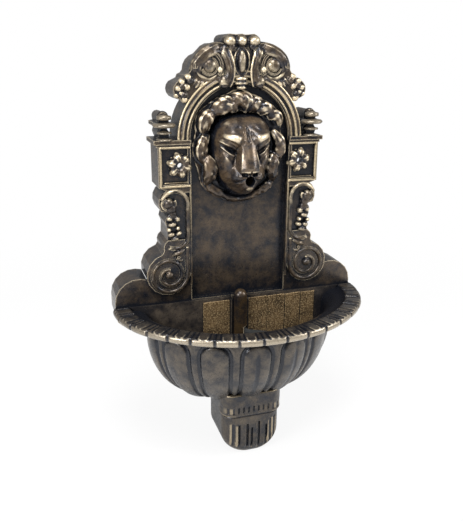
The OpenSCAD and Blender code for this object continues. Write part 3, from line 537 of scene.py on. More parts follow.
outer = [(26 - 2 * i, RIM_Z - (0.6 if i == 0 else 0)) for i in range(11)]
outer += bend(6, RIM_Z - 6, 6, 90, 262, 10)[1:]
outer += [(6 + 4 * i, RIM_Z - 12) for i in range(1, 8)]
outer += bend(34, RIM_Z - 30, 18, 88, 0, 10)[1:]
outer += [(52, RIM_Z - 30 - 1.35 * i) for i in range(1, 11)]
outer += bend(180, BODY_Z, 128, 178, 256.0, 64)
inner = bend(34, RIM_Z - 30, 23, 90, 0, 10) + bend(180, BODY_Z, 123, 178, 227, 26)
inner = [(26, RIM_Z - 1.5), (26, RIM_Z - 4)] + inner + [(97 + 51 * i / 6, FLOOR_Z) for i in range(7)]
print("plan", round(plan_len, 1), "mm, section points", len(outer), len(inner))


# %% Tongues and flutes as heights
TONGUES, FLUTES = 17, 7


def hump(x):
    """A smooth bell from 1 at nought to 0 at one and beyond."""
    return (1 - x * x) ** 2 if abs(x) < 1 else 0.0


def tongue_height(s, inset, under):
    """How far the rim stands out at a place, and how light it is: pads with a channel and dark gaps."""
    pitch = plan_len / TONGUES
    u = ((s / pitch) % 1 - 0.5) * 2
    across = abs(u) * pitch / 2
    gap = hump((1 - abs(u)) / 0.13)
    if under:
        return -2.2 * gap - 1.6 * u ** 6, 0.86 - 0.8 * gap
    d = hypot(across, max(0.0, 7.0 - inset)) - 9.5 if inset < 7 else across - 9.5
    channel, lip = hump(d / 2.2), hump((d + 3.2) / 1.8)
    light = 0.52 + 0.35 * max(0, 1 - inset / 5) - 0.45 * channel - 0.5 * gap + 0.4 * lip * (inset < 14)
    return -2.2 * gap - 1.7 * channel + 0.5 * lip - 1.0 * u ** 6, light


def flute_height(s, drop, radius, edge_radius):
    """How far the body stands out, and how light it is: an arched panel, the ditch round it, ribs between."""
    pitch = plan_len / FLUTES
    w = ((s - plan_len / 2 + 10) / pitch + 0.5) % 1 - 0.5
    across = abs(w) * pitch * radius / edge_radius
    half = 0.37 * pitch * radius / edge_radius
    down, turn_r = drop - 37.0, min(22.0, half * 0.9)
    if down < -9:
        return 0.0, 0.5
    qx, qy = across - (half - turn_r), turn_r - down
    d = hypot(qx, qy) - turn_r if qx > 0 and qy > 0 else max(across - half, -down)
    soft = min(1.0, (down + 9) / 5)
    panel = 3.4 * (1 - exp(min(d, 0) / 9))
    ditch, rib, brow = hump(d / 4.8), hump((d - 7.0) / 3.6), hump((d + 5.5) / 3.0)
    seam = hump(across / 5.0) * max(0, min(1, down / 30)) * (abs(s - plan_len / 2) < pitch)
    light = 0.5 - 0.5 * ditch + 0.16 * rib + 0.10 * brow - 0.22 * seam
    return (panel - 2.6 * ditch + 0.8 * rib - 0.9 * seam) * soft, 0.5 + (light - 0.5) * soft


# %% Lay the rings and skin them
TOP_END, UNDER, LIP_END, TONGUES_END = 11, 13, 21, 24
steps_along = TONGUES * 22
points, marks = [], []
for i in range(steps_along + 1):
    s = plan_len * i / steps_along
    centre, way, radius = station(s)
    walked, far = 0.0, abs(s - plan_len / 2) / (plan_len / 2)
    for k, (inset, z) in enumerate(outer):
        before, after = outer[max(k - 1, 0)], outer[min(k + 1, len(outer) - 1)]
        run, drop = abs(after[0] - before[0]), abs(after[1] - before[1])
        length = hypot(run, drop) or 1
        if k:
            walked += hypot(inset - outer[k - 1][0], z - outer[k - 1][1])
        if k < TONGUES_END:
            push, light = tongue_height(s, inset, k >= UNDER)
            # Under the rim's overhang the mark is held at 0.42, a little dark: painted shade.
            light = 0.5 + (light - 0.5) * (1 - 0.45 * far ** 2) if k < LIP_END else 0.42
        else:
            push, light = flute_height(s, walked - 62, radius - inset, radius)
            z -= run / length * push
        if k < TOP_END:
            z += min(push, 0)
        else:
            inset -= drop / length * push
        out_r = radius - max(inset, 0.02)
        marks.append(light)
        points.append((centre[0] + way[0] * out_r, z, centre[1] + way[1] * out_r))
    # The inside of the bowl gets a low mark of 0.28: painted shade on the inner walls.
    for inset, z in inner:
        marks.append(0.28)
        points.append((centre[0] + way[0] * (radius - inset), z, centre[1] + way[1] * (radius - inset)))
n_out, n_all = len(outer), len(outer) + len(inner)
last = steps_along * n_all
faces = []
for a in range(0, last, n_all):
    b = a + n_all
    faces += [(a + k, b + k, b + k + 1, a + k + 1) for k in range(n_out - 1)]
    faces += [(a + k + 1, b + k + 1, b + k, a + k) for k in range(n_out, n_all - 1)]
    faces.append((a, a + n_out, b + n_out, b))
faces.append(list(range(n_out - 1, last + n_out, n_all)))
faces.append(list(range(last + n_all - 1, 0, -n_all)))
faces.append(list(range(n_out)) + list(range(n_all - 1, n_out - 1, -1)))
faces.append(list(range(last + n_out - 1, last - 1, -1)) + list(range(last + n_out, last + n_all)))
faces.append((n_out - 1, n_all - 1, last + n_all - 1, last + n_out - 1))
bowl = skin_piece("bowl", points, faces, weld=1e-5, marks=marks)
finish_piece(bowl, "bowl_skin", bowl_bronze, stands_for=("basin",))

# %% [markdown]
# ## Basin's back wall
# A flat wall closes the bowl behind. Low upright strips stiffen it, and the gold paint on it is
# stippled, so it has its own material. That gold is laid on the strips only, which cover the part of
# the wall that light falls on: the stipple is real, its bright spread is painted light, and the bare
# wall left beside the strips, darker, is painted shade.

# %% Back wall with its gilded plates, bright as painted light, and the rails of the hose cover
def slab_piece(name, outline, back, front, ease=0.0008):
    """A flat slab cut to an outline of (across, up) points, with eased edges."""
    k = len(outline)
    faces = [list(range(k)), list(range(2 * k - 1, k - 1, -1))]
    faces += [(i, i + k, (i + 1) % k + k, (i + 1) % k) for i in range(k)]
    piece = skin_piece(name, [(x, z, out) for out in (back, front) for x, z in outline], faces, smooth=False)
    if ease:
        modify(piece, "BEVEL", width=ease, segments=2, limit_method="ANGLE")
    return piece


half_line = [(-(RIM_W / 2 - inset) - 0.6, z) for inset, z in inner[2:] if inset < 147]
half_line.insert(0, (-178.5, RIM_Z - 1.2))
wall_parts = [slab_piece("wall", half_line + [(-x, z) for x, z in reversed(half_line)], 52.5, 55.8, 0)]
for s in (-1, 1):
    wall_parts.append(slab_piece("rail", [(s * x, z) for x, z in ((12.2, 118), (15.2, 118), (15.2, 244), (12.2, 244))],
                                 55.2, 60.5))
wall_bronze = bronze("wall_bronze", carved=False, brown=0.8, rub_gain=0.35, mid=(116, 104, 90), dark=(44, 42, 44))
finish_piece(join(wall_parts), "bowl_back_wall", wall_bronze)
# The plates' bright stippled gold stands for the lit part of the wall: painted light.
painted_light_gold = bronze("stippled_gold_painted_light", carved=False, brown=1.0, rub_gain=0.5, mid=(140, 114, 80), gold=(206, 178, 134),
                dark=(70, 58, 44), stipple=True)
plates = [slab_piece("plate", [(x0, 120), (x1, 120), (x1, 243), (x0, 242.5)], 55.4, 57.2)
          for x0, x1 in ((-61, -16), (14, 49), (49.8, 80), (81.5, 108), (109.5, 134))]
finish_piece(join(plates), "bowl_back_plates", painted_light_gold)

# %% [markdown]
# ## Foot
# A corbel carries the bowl. Its plan is flat behind and rounded at the front corners, its lower end
# is drawn in to a round, and a collar with small dentils runs under the bowl. Rings are laid from
# the bottom up along the plan, and upright flutes are pressed into the front.

# %% Lay the foot's rings
HALF, FRONT, TURN_R, BEHIND = 48.0, 135.0, 22.0, 52.6
GROOVES = ((-23, 57, 13), (-9, 57, 11), (-1.5, 49, 10), (10.5, 59, 9), (23, 51, 10), (30.5, 60, 12),
           (37.5, 63, 18), (-33, 60, 16))


def foot_ring(z):
    """Half width and front of the foot at a height, with the collar and the rounded lower end."""
    half, front, round_r = HALF, FRONT, TURN_R
    if z < 36:
        draw = 36 - sqrt(max(0, 36 ** 2 - (36 - z) ** 2))
        half, front, round_r = half - draw, front - draw * 0.30, max(6, round_r - draw * 0.3)
    swell = 2.8 * min(1, (z - 73) / 1.5) if z > 73 else -0.8 * hump((z - 71.5) / 2)
    return half + swell, front + swell, round_r


def foot_points(z):
    """Places round the foot at a height, from the back left to the back right, with flutes pressed in."""
    half, front, r = foot_ring(z)
    left = [(-half, BEHIND + (front - r - BEHIND) * i / 14) for i in range(14)]
    left += [(-half + r - r * cos(a), front - r + r * sin(a)) for a in (pi / 2 * i / 16 for i in range(16))]
    middle = [(-half + r + 2 * (half - r) * i / 112, front) for i in range(113)]
    made = []
    for x, out in left + middle + [(-x, out) for x, out in reversed(left)]:
        if out > 112:
            for groove, top, low in GROOVES:
                ends = max(0.0, min(1.0, (z - low) / 4, (top - z) / 3))
                out -= (3.0 * hump((x - groove) / 2.3) - 0.9 * hump((x - groove + 4.2) / 2.2)) * ends
            if 78 < z < 90:
                u = x / 8.3
                out -= 2.2 * hump((u - round(u)) / 0.26) * min(1, (z - 78) / 1.5, (90 - z) / 1.5)
        made.append((x, min(z, 106.5) if out < 127 else z, out))
    return made


heights = [0.6, 1.6, 3, 5, 7.5] + [10 + 1.25 * i for i in range(46)] + [68 + 0.7 * i for i in range(34)]
heights += [93 + 2.7 * i for i in range(8)]
points = [(x * 0.93, 0.0, BEHIND + (out - BEHIND) * 0.97) for x, _, out in foot_points(0)]
n = len(points)
for z in heights:
    points += foot_points(z)
top = len(points) - n
faces = [(a + k, a + n + k, a + n + k + 1, a + k + 1) for a in range(0, top, n) for k in range(n - 1)]
faces += [(a + n, a, a + n - 1, a + 2 * n - 1) for a in range(0, top, n)]
faces += [list(range(n)), list(range(top + n - 1, top - 1, -1))]
foot = skin_piece("foot", points, faces, weld=1e-5)
measure_rub(foot, 12, 0.0012, fine=0.8, wide=0.15)
for v, mark in zip(foot.data.vertices, foot.data.attributes["rub"].data):
    mark.value = mark.value if v.co.y < -0.112 else min(mark.value, 0.42)
foot_bronze = bronze("foot_bronze", carved=True, brown=0.8, rub_gain=0.7, gold=(150, 136, 112), mid=(86, 76, 62))
finish_piece(foot, "foot_skin", foot_bronze, stands_for=("corbel",))

# %% [markdown]
# ## Lion
# The head stands far out of the field: a sloping forehead, two brow bulges with a furrow between
# them, slanting eyes with heavy lids, a flat-topped nose and a short muzzle. A smooth sheet is
# fitted through places on half of the face and their twins, as a thin plate bends over pins. The
# nose is a ridge blended into it, and creases are pressed in along short lines. Thick locks stand
# round the head on a plate, with a gap between locks and face. The face's outer ring is painted
# dark there as shade, and painted highlights and shade are laid on the nose, lip and muzzle.

# %% Places that shape the head
# FACE: across, up, out. NOSE: height, crest, half width. CREASES: line, rise, width.
FACE = [
    (0, 537, 64), (14, 537, 64), (28, 534, 63), (38, 527, 61), (44, 516, 60), (46, 503, 60), (45.5, 490, 60),
    (44.5, 477, 60), (43, 464, 60), (37, 450, 60), (29, 438, 63), (21, 428, 67), (11, 421, 70), (0, 419, 70),
    (0, 529, 77), (14, 530, 77), (28, 527, 75), (37, 519, 72), (0, 520, 86), (15, 520, 87), (29, 518, 84),
    (40, 508, 73), (0, 508, 91), (8, 508, 95), (15, 507, 99.5), (23, 509, 97), (31, 510, 91), (38, 505, 80),
    (10, 497, 94), (15, 497, 96), (22, 499, 94), (32, 503, 88), (34, 491, 80), (26, 488, 82), (18, 486, 85),
    (13, 484, 88), (0, 492, 92), (0, 478, 93), (0, 465, 95), (17, 476, 89), (19, 466, 92), (28, 484, 86),
    (37, 489, 77), (41, 478, 70), (33, 475, 85), (27, 470, 88), (37, 463, 72), (29, 460, 82), (23, 455, 95),
    (16, 455, 101), (31, 447, 77), (23, 446, 91), (14, 448, 101.5), (7, 451, 104), (0, 453, 104), (10, 440, 99),
    (16, 438, 90), (23, 437, 74), (6, 434, 100), (0, 433, 101), (0, 427, 89), (11, 428, 84), (16, 430, 75)]
NOSE = [
    (514, 80, 7), (504, 95, 10.5), (492, 101, 13), (478, 107.5, 15), (465, 111, 16.4), (459, 109.5, 16),
    (454, 101, 13), (447, 82, 9)]
CREASES = [
    ([(37, 497), (31, 493.5), (22, 488.5), (15.5, 485)], -3.2, 1.1),
    ([(39, 501.5), (31, 497.5), (22, 493), (15, 488.5)], 1.5, 1.5),
    ([(38, 493.5), (33, 489.5), (26, 484.8), (19, 481)], 2.2, 1.5),
    ([(38, 507.5), (30, 504), (21, 499.5), (13.5, 494)], -1.5, 1.5),
    ([(0, 519), (0, 511), (0.5, 503)], -3.2, 2.0), ([(6.5, 514), (5.5, 507), (7.5, 500)], -1.0, 1.8),
    ([(18.5, 478), (21, 468), (25, 458), (26.5, 447)], -1.8, 2.4),
    ([(15, 492), (17.5, 478), (18.8, 464), (15, 455)], -1.8, 1.9),
    ([(6, 454.5), (9.5, 455.5)], -6.0, 2.2), ([(0, 460), (0, 452)], -2.2, 1.1),
    ([(31, 484), (25, 476), (21, 472)], -1.1, 2.2), ([(7.5, 449), (14, 444.5), (20, 442)], -2.6, 1.5),
    ([(12, 521), (20, 515), (30, 514)], -0.8, 2.4)]
print(len(FACE), "places,", len(NOSE), "heights of the nose,", len(CREASES), "creases")


# %% Model the head
def mirrored(row):
    """The points and their twins across the middle."""
    return row + [(-p[0], *p[1:]) for p in row if p[0] > 0.3]


def along(x, z, line):
    """Least distance from points to a line of straight steps."""
    best = np.full(len(x), 1e9)
    for (ax, az), (bx, bz) in zip(line, line[1:]):
        run = (bx - ax) ** 2 + (bz - az) ** 2
        t = np.clip(((x - ax) * (bx - ax) + (z - az) * (bz - az)) / run, 0, 1)
        best = np.minimum(best, np.hypot(x - ax - t * (bx - ax), z - az - t * (bz - az)))
    return best


def plate_bend(r):
    """The bending curve of a thin plate round one of its supports."""
    return np.where(r > 1e-9, r * r * np.log(np.maximum(r, 1e-9)), 0.0)


held = np.array(mirrored(FACE))
n_held = len(held)
gaps = np.hypot(held[:, None, 0] - held[None, :, 0], held[:, None, 1] - held[None, :, 1])
sheet = np.zeros((n_held + 3, n_held + 3))
sheet[:n_held, :n_held] = plate_bend(gaps) + 4.0 * np.eye(n_held)
sheet[:n_held, n_held:] = np.column_stack([np.ones(n_held), held[:, :2]])
sheet[n_held:, :n_held] = sheet[:n_held, n_held:].T
weights = np.linalg.solve(sheet, np.concatenate([held[:, 2], [0, 0, 0]]))


def face_out(x, z):
    """How far the face stands out from the wall at places across and up."""
    r = np.hypot(x[:, None] - held[None, :, 0], z[:, None] - held[None, :, 1])
    out = plate_bend(r) @ weights[:n_held] + weights[n_held] + x * weights[n_held + 1] + z * weights[n_held + 2]
    height, top, half = (np.array(v, float) for v in zip(*reversed(NOSE)))
    beside = np.maximum(0, np.abs(x) - np.interp(z, height, half) + 2.5)
    ridge = np.interp(z, height, top) - 0.035 * x * x - 1.5 * beside ** 1.45
    ridge = np.where((z < 517) & (z > 444), ridge, 0)
    sheet_up, ridge_up = (np.exp(np.clip((v - 90) / 2.6, -40, 40)) for v in (out, ridge))
    out = np.log(sheet_up + ridge_up) * 2.6 + 90
    for line, rise, width in CREASES:
        out += rise * np.exp(-(along(np.abs(x), z, line) / width) ** 2)
    return out


edge = np.array([
    (0, 541), (14, 541), (28, 538), (39, 531), (46, 518), (49, 504), (49, 490), (48, 477), (46.5, 463),
    (41.5, 448), (34, 435.5), (25, 425), (12, 417.5), (0, 415.5)])
MID_Z, TURNS, RINGS = 480.0, 300, 84
ways, lengths = np.arctan2(edge[:, 0], edge[:, 1] - MID_Z), np.hypot(edge[:, 0], edge[:, 1] - MID_Z)
spokes = 2 * pi * np.arange(TURNS) / TURNS
span = np.interp(np.minimum(spokes, 2 * pi - spokes), ways, lengths)
span = sum(np.roll(span, k) for k in (0, 1, -1, 2, -2)) / 5
points = []
for i in range(1, RINGS + 1):
    t = i / RINGS
    x, z = span * t * np.sin(spokes), MID_Z + span * t * np.cos(spokes)
    fall = max(0.0, (t - 0.93) / 0.07)
    points += zip(x, z, face_out(x, z) * (1 - fall ** 2) + 45.5 * fall ** 2)
middle = len(points)
points.append((0, MID_Z, float(face_out(np.array([0.0]), np.array([MID_Z]))[0])))
faces = [(a + k, a + (k + 1) % TURNS, a + TURNS + (k + 1) % TURNS, a + TURNS + k)
         for a in range(0, middle - TURNS, TURNS) for k in range(TURNS)]
faces += [(middle, (k + 1) % TURNS, k) for k in range(TURNS)]
faces.append(list(range(middle - TURNS, middle)))
face = skin_piece("lion_face", points, faces)

# %% Paint and open the mouth
measure_rub(face, 22, 0.0014, fine=0.35, wide=0.75)
mask = face.data.attributes["rub"].data
bridge = [(z, half) for z, _, half in reversed(NOSE) if 456 < z < 505]
for i in range(middle):
    co = face.data.vertices[i].co
    x, z = abs(co.x * 1000), height_of(co)
    # Painted shade: the face darkens over its outer ring, where it falls back into the gap by the locks.
    shade_at_rim = max(0.0, ((i // TURNS + 1) / RINGS - 0.87) / 0.13)
    bridge_highlight = hump(max(0.0, x - np.interp(z, *zip(*bridge)) + 5) / 5) * (bridge[0][0] < z < 503)
    lip_highlight = hump(x / 8.5) * hump((z - 434) / 4.5)
    # Below the nose the mark is held at 0.56 as painted shade on the muzzle; painted highlights brighten the lower lip
    # and the nose bridge.
    tone = min(mask[i].value, 0.56) + 0.4 * lip_highlight if z < 457 else max(mask[i].value, 0.5 + 0.13 * bridge_highlight)
    mask[i].value = tone * (1 - 0.75 * min(1.0, 2 * shade_at_rim))
lion_bronze = bronze("lion_bronze", carved=True, brown=0.95, rub_gain=0.95, gold=(226, 208, 178), mid=(110, 91, 69))
finish_piece(face, "lion_face", lion_bronze, stands_for=("lion_mask",))
bpy.ops.mesh.primitive_cone_add(vertices=40, radius1=0.0078, radius2=0.0058, depth=0.05,
                                location=at(0, 445.5, 88), rotation=(radians(-90), 0, 0))
drill_out(face, bpy.context.object)
print("face", len(face.data.polygons), "faces after the mouth is opened")

# %% Model the locks on their plate
# Each lock: number of strands, then its line as (across, up, out, radius).
rim_line = [
    (0, 573), (-10, 571), (-20, 565), (-32, 561), (-44, 554), (-56, 547), (-66, 536), (-68, 523), (-66, 512),
    (-70, 500), (-72, 486), (-69, 470), (-64, 458), (-62, 444), (-57, 431), (-46, 420), (-33, 411), (-17, 405),
    (0, 403)]
rim_line += [(-x, z) for x, z in reversed(rim_line[1:-1])]
TOP_LOCKS = (
    (3, (-9, 546, 60, 6), (-17, 552, 65, 10), (-27, 554, 67, 11.5), (-37, 548, 65, 10), (-44, 543, 61, 7),
     (-48, 540, 57, 4)),
    (2, (-3, 551, 61, 5), (-6, 558, 67, 9), (-11, 562, 67, 8.5), (-17, 562, 62, 6), (-23, 560, 57, 3)),
    (2, (3, 543, 60, 4.5), (5, 552, 67, 8), (6, 560, 68, 8.5), (2, 566, 64, 6), (-4, 568, 58, 3)),
    (2, (12, 543, 60, 5.5), (15, 551, 65, 9), (21, 556, 66, 8.5), (27, 553, 62, 6), (32, 548, 57, 3)),
    (2, (25, 540, 60, 5.5), (31, 546, 64, 8.5), (39, 547, 64, 8), (46, 541, 60, 5.5), (50, 536, 56, 3)),
    (2, (41, 533, 58, 5), (48, 537, 62, 7.5), (55, 535, 62, 7.5), (61, 528, 58, 5.5), (63, 520, 54, 3)),
    (3, (-44, 542, 59, 5), (-51, 540, 64, 8.5), (-57, 532, 65, 9.5), (-59, 522, 63, 8.5), (-57, 513, 57, 4.5),
     (-55, 508, 53, 2.5)))
SIDE_LOCKS = (
    (2, (-52, 512, 54, 3.5), (-57, 505, 59, 6.5), (-61.5, 495, 60, 8), (-62.5, 483, 59, 8), (-60, 473, 56, 5.5),
     (-56, 467, 52, 3)),
    (3, (-58, 480, 54, 3.5), (-53, 473, 60, 7), (-49, 464, 62, 9), (-48, 454, 61, 9), (-51, 444, 58, 7.5),
     (-53, 435, 53, 4)),
    (2, (-54, 441, 51, 3), (-49, 432, 53, 5.5), (-41, 425, 54, 6), (-32, 419, 53, 5), (-23, 414, 50, 3)),
    (1, (-34, 424, 50, 3), (-25, 416, 52, 4.5), (-15, 411, 52, 5), (-6, 409, 51, 4.5), (0, 409, 50, 4)))


def lock(strands, *points):
    """One wavy lock: a thick roll with a base behind it and strands laid along its top."""
    made = [rope(points), rope([(x, z, out - r * 1.1, r * 0.95) for x, z, out, r in points])]
    for k in range(strands):
        shift = (2 * k / (strands - 1) - 1) * 0.62 if strands > 1 else 0
        line = []
        for i, (x, z, out, r) in enumerate(points):
            a, b = points[max(0, i - 1)], points[min(len(points) - 1, i + 1)]
            run = hypot(b[0] - a[0], b[1] - a[1]) or 1
            across = (-(b[1] - a[1]) / run, (b[0] - a[0]) / run)
            line.append((x + across[0] * r * shift, z + across[1] * r * shift, out + r * (0.52 - 0.28 * abs(shift)),
                         max(0.5, r * 0.52)))
        made.append(rope(line, 2))
    return made


mane = [slab_piece("plate", rim_line, 42.8, 46.5, 0), rope([(x, z, 45.5, 1.5) for x, z in rim_line + rim_line[:1]], 2)]
mane += [part for row in TOP_LOCKS for part in lock(*row)]
flank = [part for row in SIDE_LOCKS for part in lock(*row)]
carve(mane + flank + mirror_parts(flank), "lion_mane", lion_bronze, grain_mm=1.0, soften=3,
      rub_steps=26, reach=0.0015, waves=0.0005)

# %% [markdown]
# ## Crest
# Three curled lobes crown the panel. Two broad leaves sweep down from them, roll round a boss, and
# end in a rounded foot on the arch. A long oval gem stands in a hollow frame between the leaves.

# %% Crest
crown = [lump(-1, 640, 52, 11, 9.6, 15),
         rope([(-27, 634, 44, 4), (-16, 633, 50, 6), (0, 631.5, 52, 6.5), (16, 633, 50, 6), (27, 634, 44, 4)])]
crest = [
    lump(18, 639.8, 52, 11.5, 9.6, 15), rope(turn_points(17, 640.5, 59.5, 5, 3, 200, -80, 1.7, 1.2), 2),
    rope([(25, 635, 46, 6), (38, 631, 53, 9), (51, 625, 56, 10), (62, 617, 56, 9.5), (69, 607, 54, 8),
          (72, 597, 50, 6.5), (72, 588, 46, 5)]),
    rope([(34, 626, 56, 3), (43, 624, 61, 4.5), (53, 619, 62.5, 4.5), (61, 611, 61, 4), (64, 602, 58, 3.5),
          (63, 594, 55, 2.5)]),
    rope([(23, 634, 52, 5), (29, 627, 57, 6.5), (24, 617, 59.5, 6), (20, 606, 60, 5.5), (19, 595, 59.5, 6),
          (22, 586, 58, 7)]),
    rope([(20, 634, 56, 1.6), (19.5, 625, 62, 2.0), (16, 616, 64, 2.2), (13.5, 605, 64, 2.0),
          (13.2, 595, 63.5, 1.9), (15, 584, 62, 1.8), (18, 577, 59, 1.5)], 2),
    lump(27, 584, 57, 9, 10, 9, lean=12), lump(35, 588, 54, 8, 6, 7, lean=20),
    lump(49, 607, 58, 11, 10.5, 9), lump(33.5, 601, 58, 5, 5, 6),
    rope(turn_points(50, 605, 57, 17.5, 17.5, 75, -175, 3.2, 2.8)),
    rope([(34, 590, 54, 3), (43, 586, 56, 3.4), (54, 585, 56, 3.4), (62, 588, 55, 3), (66, 594, 53, 2)], 2)]
for x0, z0, x1, z1 in ((60, 588, 71, 575), (66, 590, 76, 577), (71, 592, 80, 582), (55, 587, 66, 576)):
    crest.append(rope([(x0 + (x1 - x0) * t, z0 + (z1 - z0) * t, out, r) for t, out, r in (
        (0, 54, 1.6), (0.25, 57, 2.6), (0.5, 58, 3), (0.75, 57, 2.4), (1, 55, 1.4))], 2))
BERRIES = ((80, 590, 6), (89, 584, 5.6), (94.5, 575, 5.6), (90, 568, 5.2), (86, 560, 5), (82, 578, 6),
           (97, 566, 4), (76, 584, 5))
for x, z, r in BERRIES:
    crest.append(lump(x, z, 55, r, r, r + 1.5))
    crest.append(lump(x + r * 0.4, z + r * 0.2, 59.5, r * 0.45, r * 0.45, r * 0.5))
gem = [lump(-0.5, 612, 58, 7.4, 17.0, 8.5),
       slab_piece("ground", [(-12.5, 630), (-12.5, 592), (12.5, 592), (12.5, 630)], 50, 57.5, 0)]
gem.append(rope([(11.2 * cos(a), 612 + 19.5 * sin(a), 58.5, 1.9) for a in map(radians, range(0, 361, 20))], 2))
for z, w in ((588, 9), (582, 9), (576, 6)):
    gem.append(rope([(w * t, z, out, r) for t, out, r in (
        (-1, 56, 2), (-0.5, 59.5, 3), (0, 60.5, 3.2), (0.5, 59.5, 3), (1, 56, 2))], 2))
crest_bronze = bronze("crest_bronze", carved=True, brown=0.8, rub_gain=0.85, gold=(218, 201, 170), mid=(100, 84, 63))
carve(crown + gem + crest + mirror_parts(crest), "crest_carving", crest_bronze, grain_mm=0.9, soften=2,
      rub_steps=30, reach=0.0014, waves=0.00015)

# %% [markdown]
# ## Arch, cornices and finials
# A double rounded moulding follows the arch down both legs. Each box has a small cornice above and a
# rounded edge round its sunk field. A turned finial with a ball on a disc stands on each cornice.

# %% Arch mouldings and box frames
ARCH_Z = 503


def arch_line(r, z_low, out, thick):
    """Points of a roll that climbs one leg, follows the arch, and comes down the other."""
    leg = ARCH_Z - z_low
    row = [(-r, z_low + leg * i / 3, out, thick) for i in range(3)]
    row += [(-r * cos(pi * i / 26), ARCH_Z + r * sin(pi * i / 26), out, thick) for i in range(27)]
    return row + [(r, ARCH_Z - leg * i / 3, out, thick) for i in range(1, 4)]


def bar(places, out, thick):
    """A straight roll through places given as (across, up)."""
    return rope([(x, z, out, thick) for x, z in places], 2)


mould = [rope(arch_line(*row)) for row in ((95.5, 505, 57.2, 2.3), (90, 503, 57.8, 2.4), (81.5, 500, 55.5, 2.4),
                                           (78.4, 497, 53.6, 1.4))]
frame_side = [bar([(78.6, 492), (95, 492), (110, 492), (124, 492), (124.3, 491.5)], 58, 2.0),
              bar([(123.6, z) for z in (492, 478, 462, 446, 434)], 58, 2.1),
              bar([(x, 434.5) for x in (124, 110, 96, 86, 78.5)], 58, 2.2),
              bar([(x, 440) for x in (118, 108, 98, 90, 82)], 56.6, 1.2),
              rope([(79.2, z, 57.2, 2.0) for z in (434, 400, 360, 310)] + [(79.6, 276, 56.6, 1.8)], 2)]
mould_bronze = bronze("mould_bronze", carved=True, brown=0.9, rub_gain=0.8, gold=(208, 190, 156), mid=(114, 95, 69))
carve(mould + frame_side + mirror_parts(frame_side), "mouldings", mould_bronze, grain_mm=0.9, soften=1,
      rub_steps=20, reach=0.0012)

# %% Turned finials
def turned(name, profile, x, out):
    """A piece turned on a lathe about an upright line, from (radius, height) points."""
    mesh = bpy.data.meshes.new(name)
    mesh.from_pydata([(r / 1000, 0, z / 1000) for r, z in profile], [(i, i + 1) for i in range(len(profile) - 1)], [])
    piece = bpy.data.objects.new(name, mesh)
    bpy.context.collection.objects.link(piece)
    modify(piece, "SCREW", steps=48, render_steps=48, use_merge_vertices=True)
    face_outwards(piece.data, 0.00005)
    bpy.ops.object.shade_smooth()
    piece.location = at(x, DATUM, out)
    bpy.ops.object.transform_apply(location=True)
    return piece


def swelling(r, z, high, turns):
    """Points of a round swelling in a turned outline, by its half sizes, height and angles."""
    return [(r * cos(radians(a)), z + high * sin(radians(a))) for a in turns]


profile = [(0.01, 36.5), (10.5, 36.5), (10.8, 38.5), (8.2, 40)] + swelling(9.8, 47, 6.6, range(-45, 56, 20))
profile += [(5.0, 54), (13.5, 55.5), (15.4, 57.6), (15.4, 59), (13.5, 61), (9, 62.5)]
profile += swelling(9.8, 69, 9.6, range(-30, 90, 15)) + [(0.01, 79)]
pair = join([turned("finial", [(r * 1.1, z) for r, z in profile], x, 54.0) for x in (-116, 116)])
measure_rub(pair, 10, 0.0024)
finish_piece(pair, "finials", bronze("finial_bronze", carved=True, brown=0.45, rub_gain=0.45))

# %% [markdown]
# ## Pilasters
# Each side strip holds a tall C-shaped loop with a curl round a bead, a string of husks, a small
# leaf, and a spiral with a raised eye at its lower end. Rosettes with a screw hole sit in the boxes
# above. The left side is the mirror of the right.

# %% Scrollwork on both pilasters
loop = turn_points(104, 408, 58.6, 20, 20, 22, 178, 2.4, 3.2)
loop += [(84, 400, 58.8, 3.3), (84, 384, 58.8, 3.4), (84, 368, 58.8, 3.3)]
loop += turn_points(104, 357.9, 58.6, 20, 20, 182, 298, 3.2, 2.4)
scrolls = [rope(loop), rope(turn_points(113, 409, 58.4, 10, 10, 150, 420, 2.5, 2.2)),
           lump(113, 409, 57.5, 8, 8.5, 7), lump(109, 401, 57, 7.5, 9, 6, lean=20),
           lump(107, 391, 56.5, 6.5, 8, 5.5)]
HUSKS = ((112, 386, 5, 4, -25), (101, 385, 4.5, 5, 25), (108, 377, 6.4, 4.4, 10), (100, 371, 3.4, 3.4, 0),
         (110, 361, 5.6, 4.6, 0), (99.5, 362, 5.4, 3.8, 20), (105, 354, 6, 4.4, 10), (114, 369, 3.6, 3.6, 0))
scrolls += [lump(x, z, 58, rx, rz, 5.6, lean=t) for x, z, rx, rz, t in HUSKS]
spiral = []
for i in range(41):
    t = i / 40
    a, r = radians(170 + 650 * t), 29.5 + (8 - 29.5) * t ** 1.45
    spiral.append((115 + r * cos(a), 295.9 + r * sin(a), 58.4 + 0.8 * t, 3.4 - 0.9 * t))
scrolls += [
    rope(spiral), rope([(86, 340, 58, 2.6), (86, 328, 58.4, 3.1), (86, 316, 58.6, 3.3), (85.6, 306, 58.6, 3.3),
                        (85.4, 300, 58.4, 3.3)]), lump(115, 296.5, 60, 6.6, 6.2, 6),
    rope([(109, 326, 57, 2), (105, 330, 59.5, 3.8), (100, 331, 60.5, 4.2), (95, 333, 59.5, 3), (91, 336, 57.5, 1.8)],
         2),
    rope([(103, 322, 57, 1.8), (100, 319, 58.5, 2.8), (96, 318, 58.5, 2.6), (93, 320, 57, 1.6), (92, 322, 56, 1)], 2)]
carve(scrolls + mirror_parts(scrolls), "pilaster_scrolls", crest_bronze, grain_mm=0.85, soften=2,
      rub_steps=24, reach=0.0013, waves=0.0001)

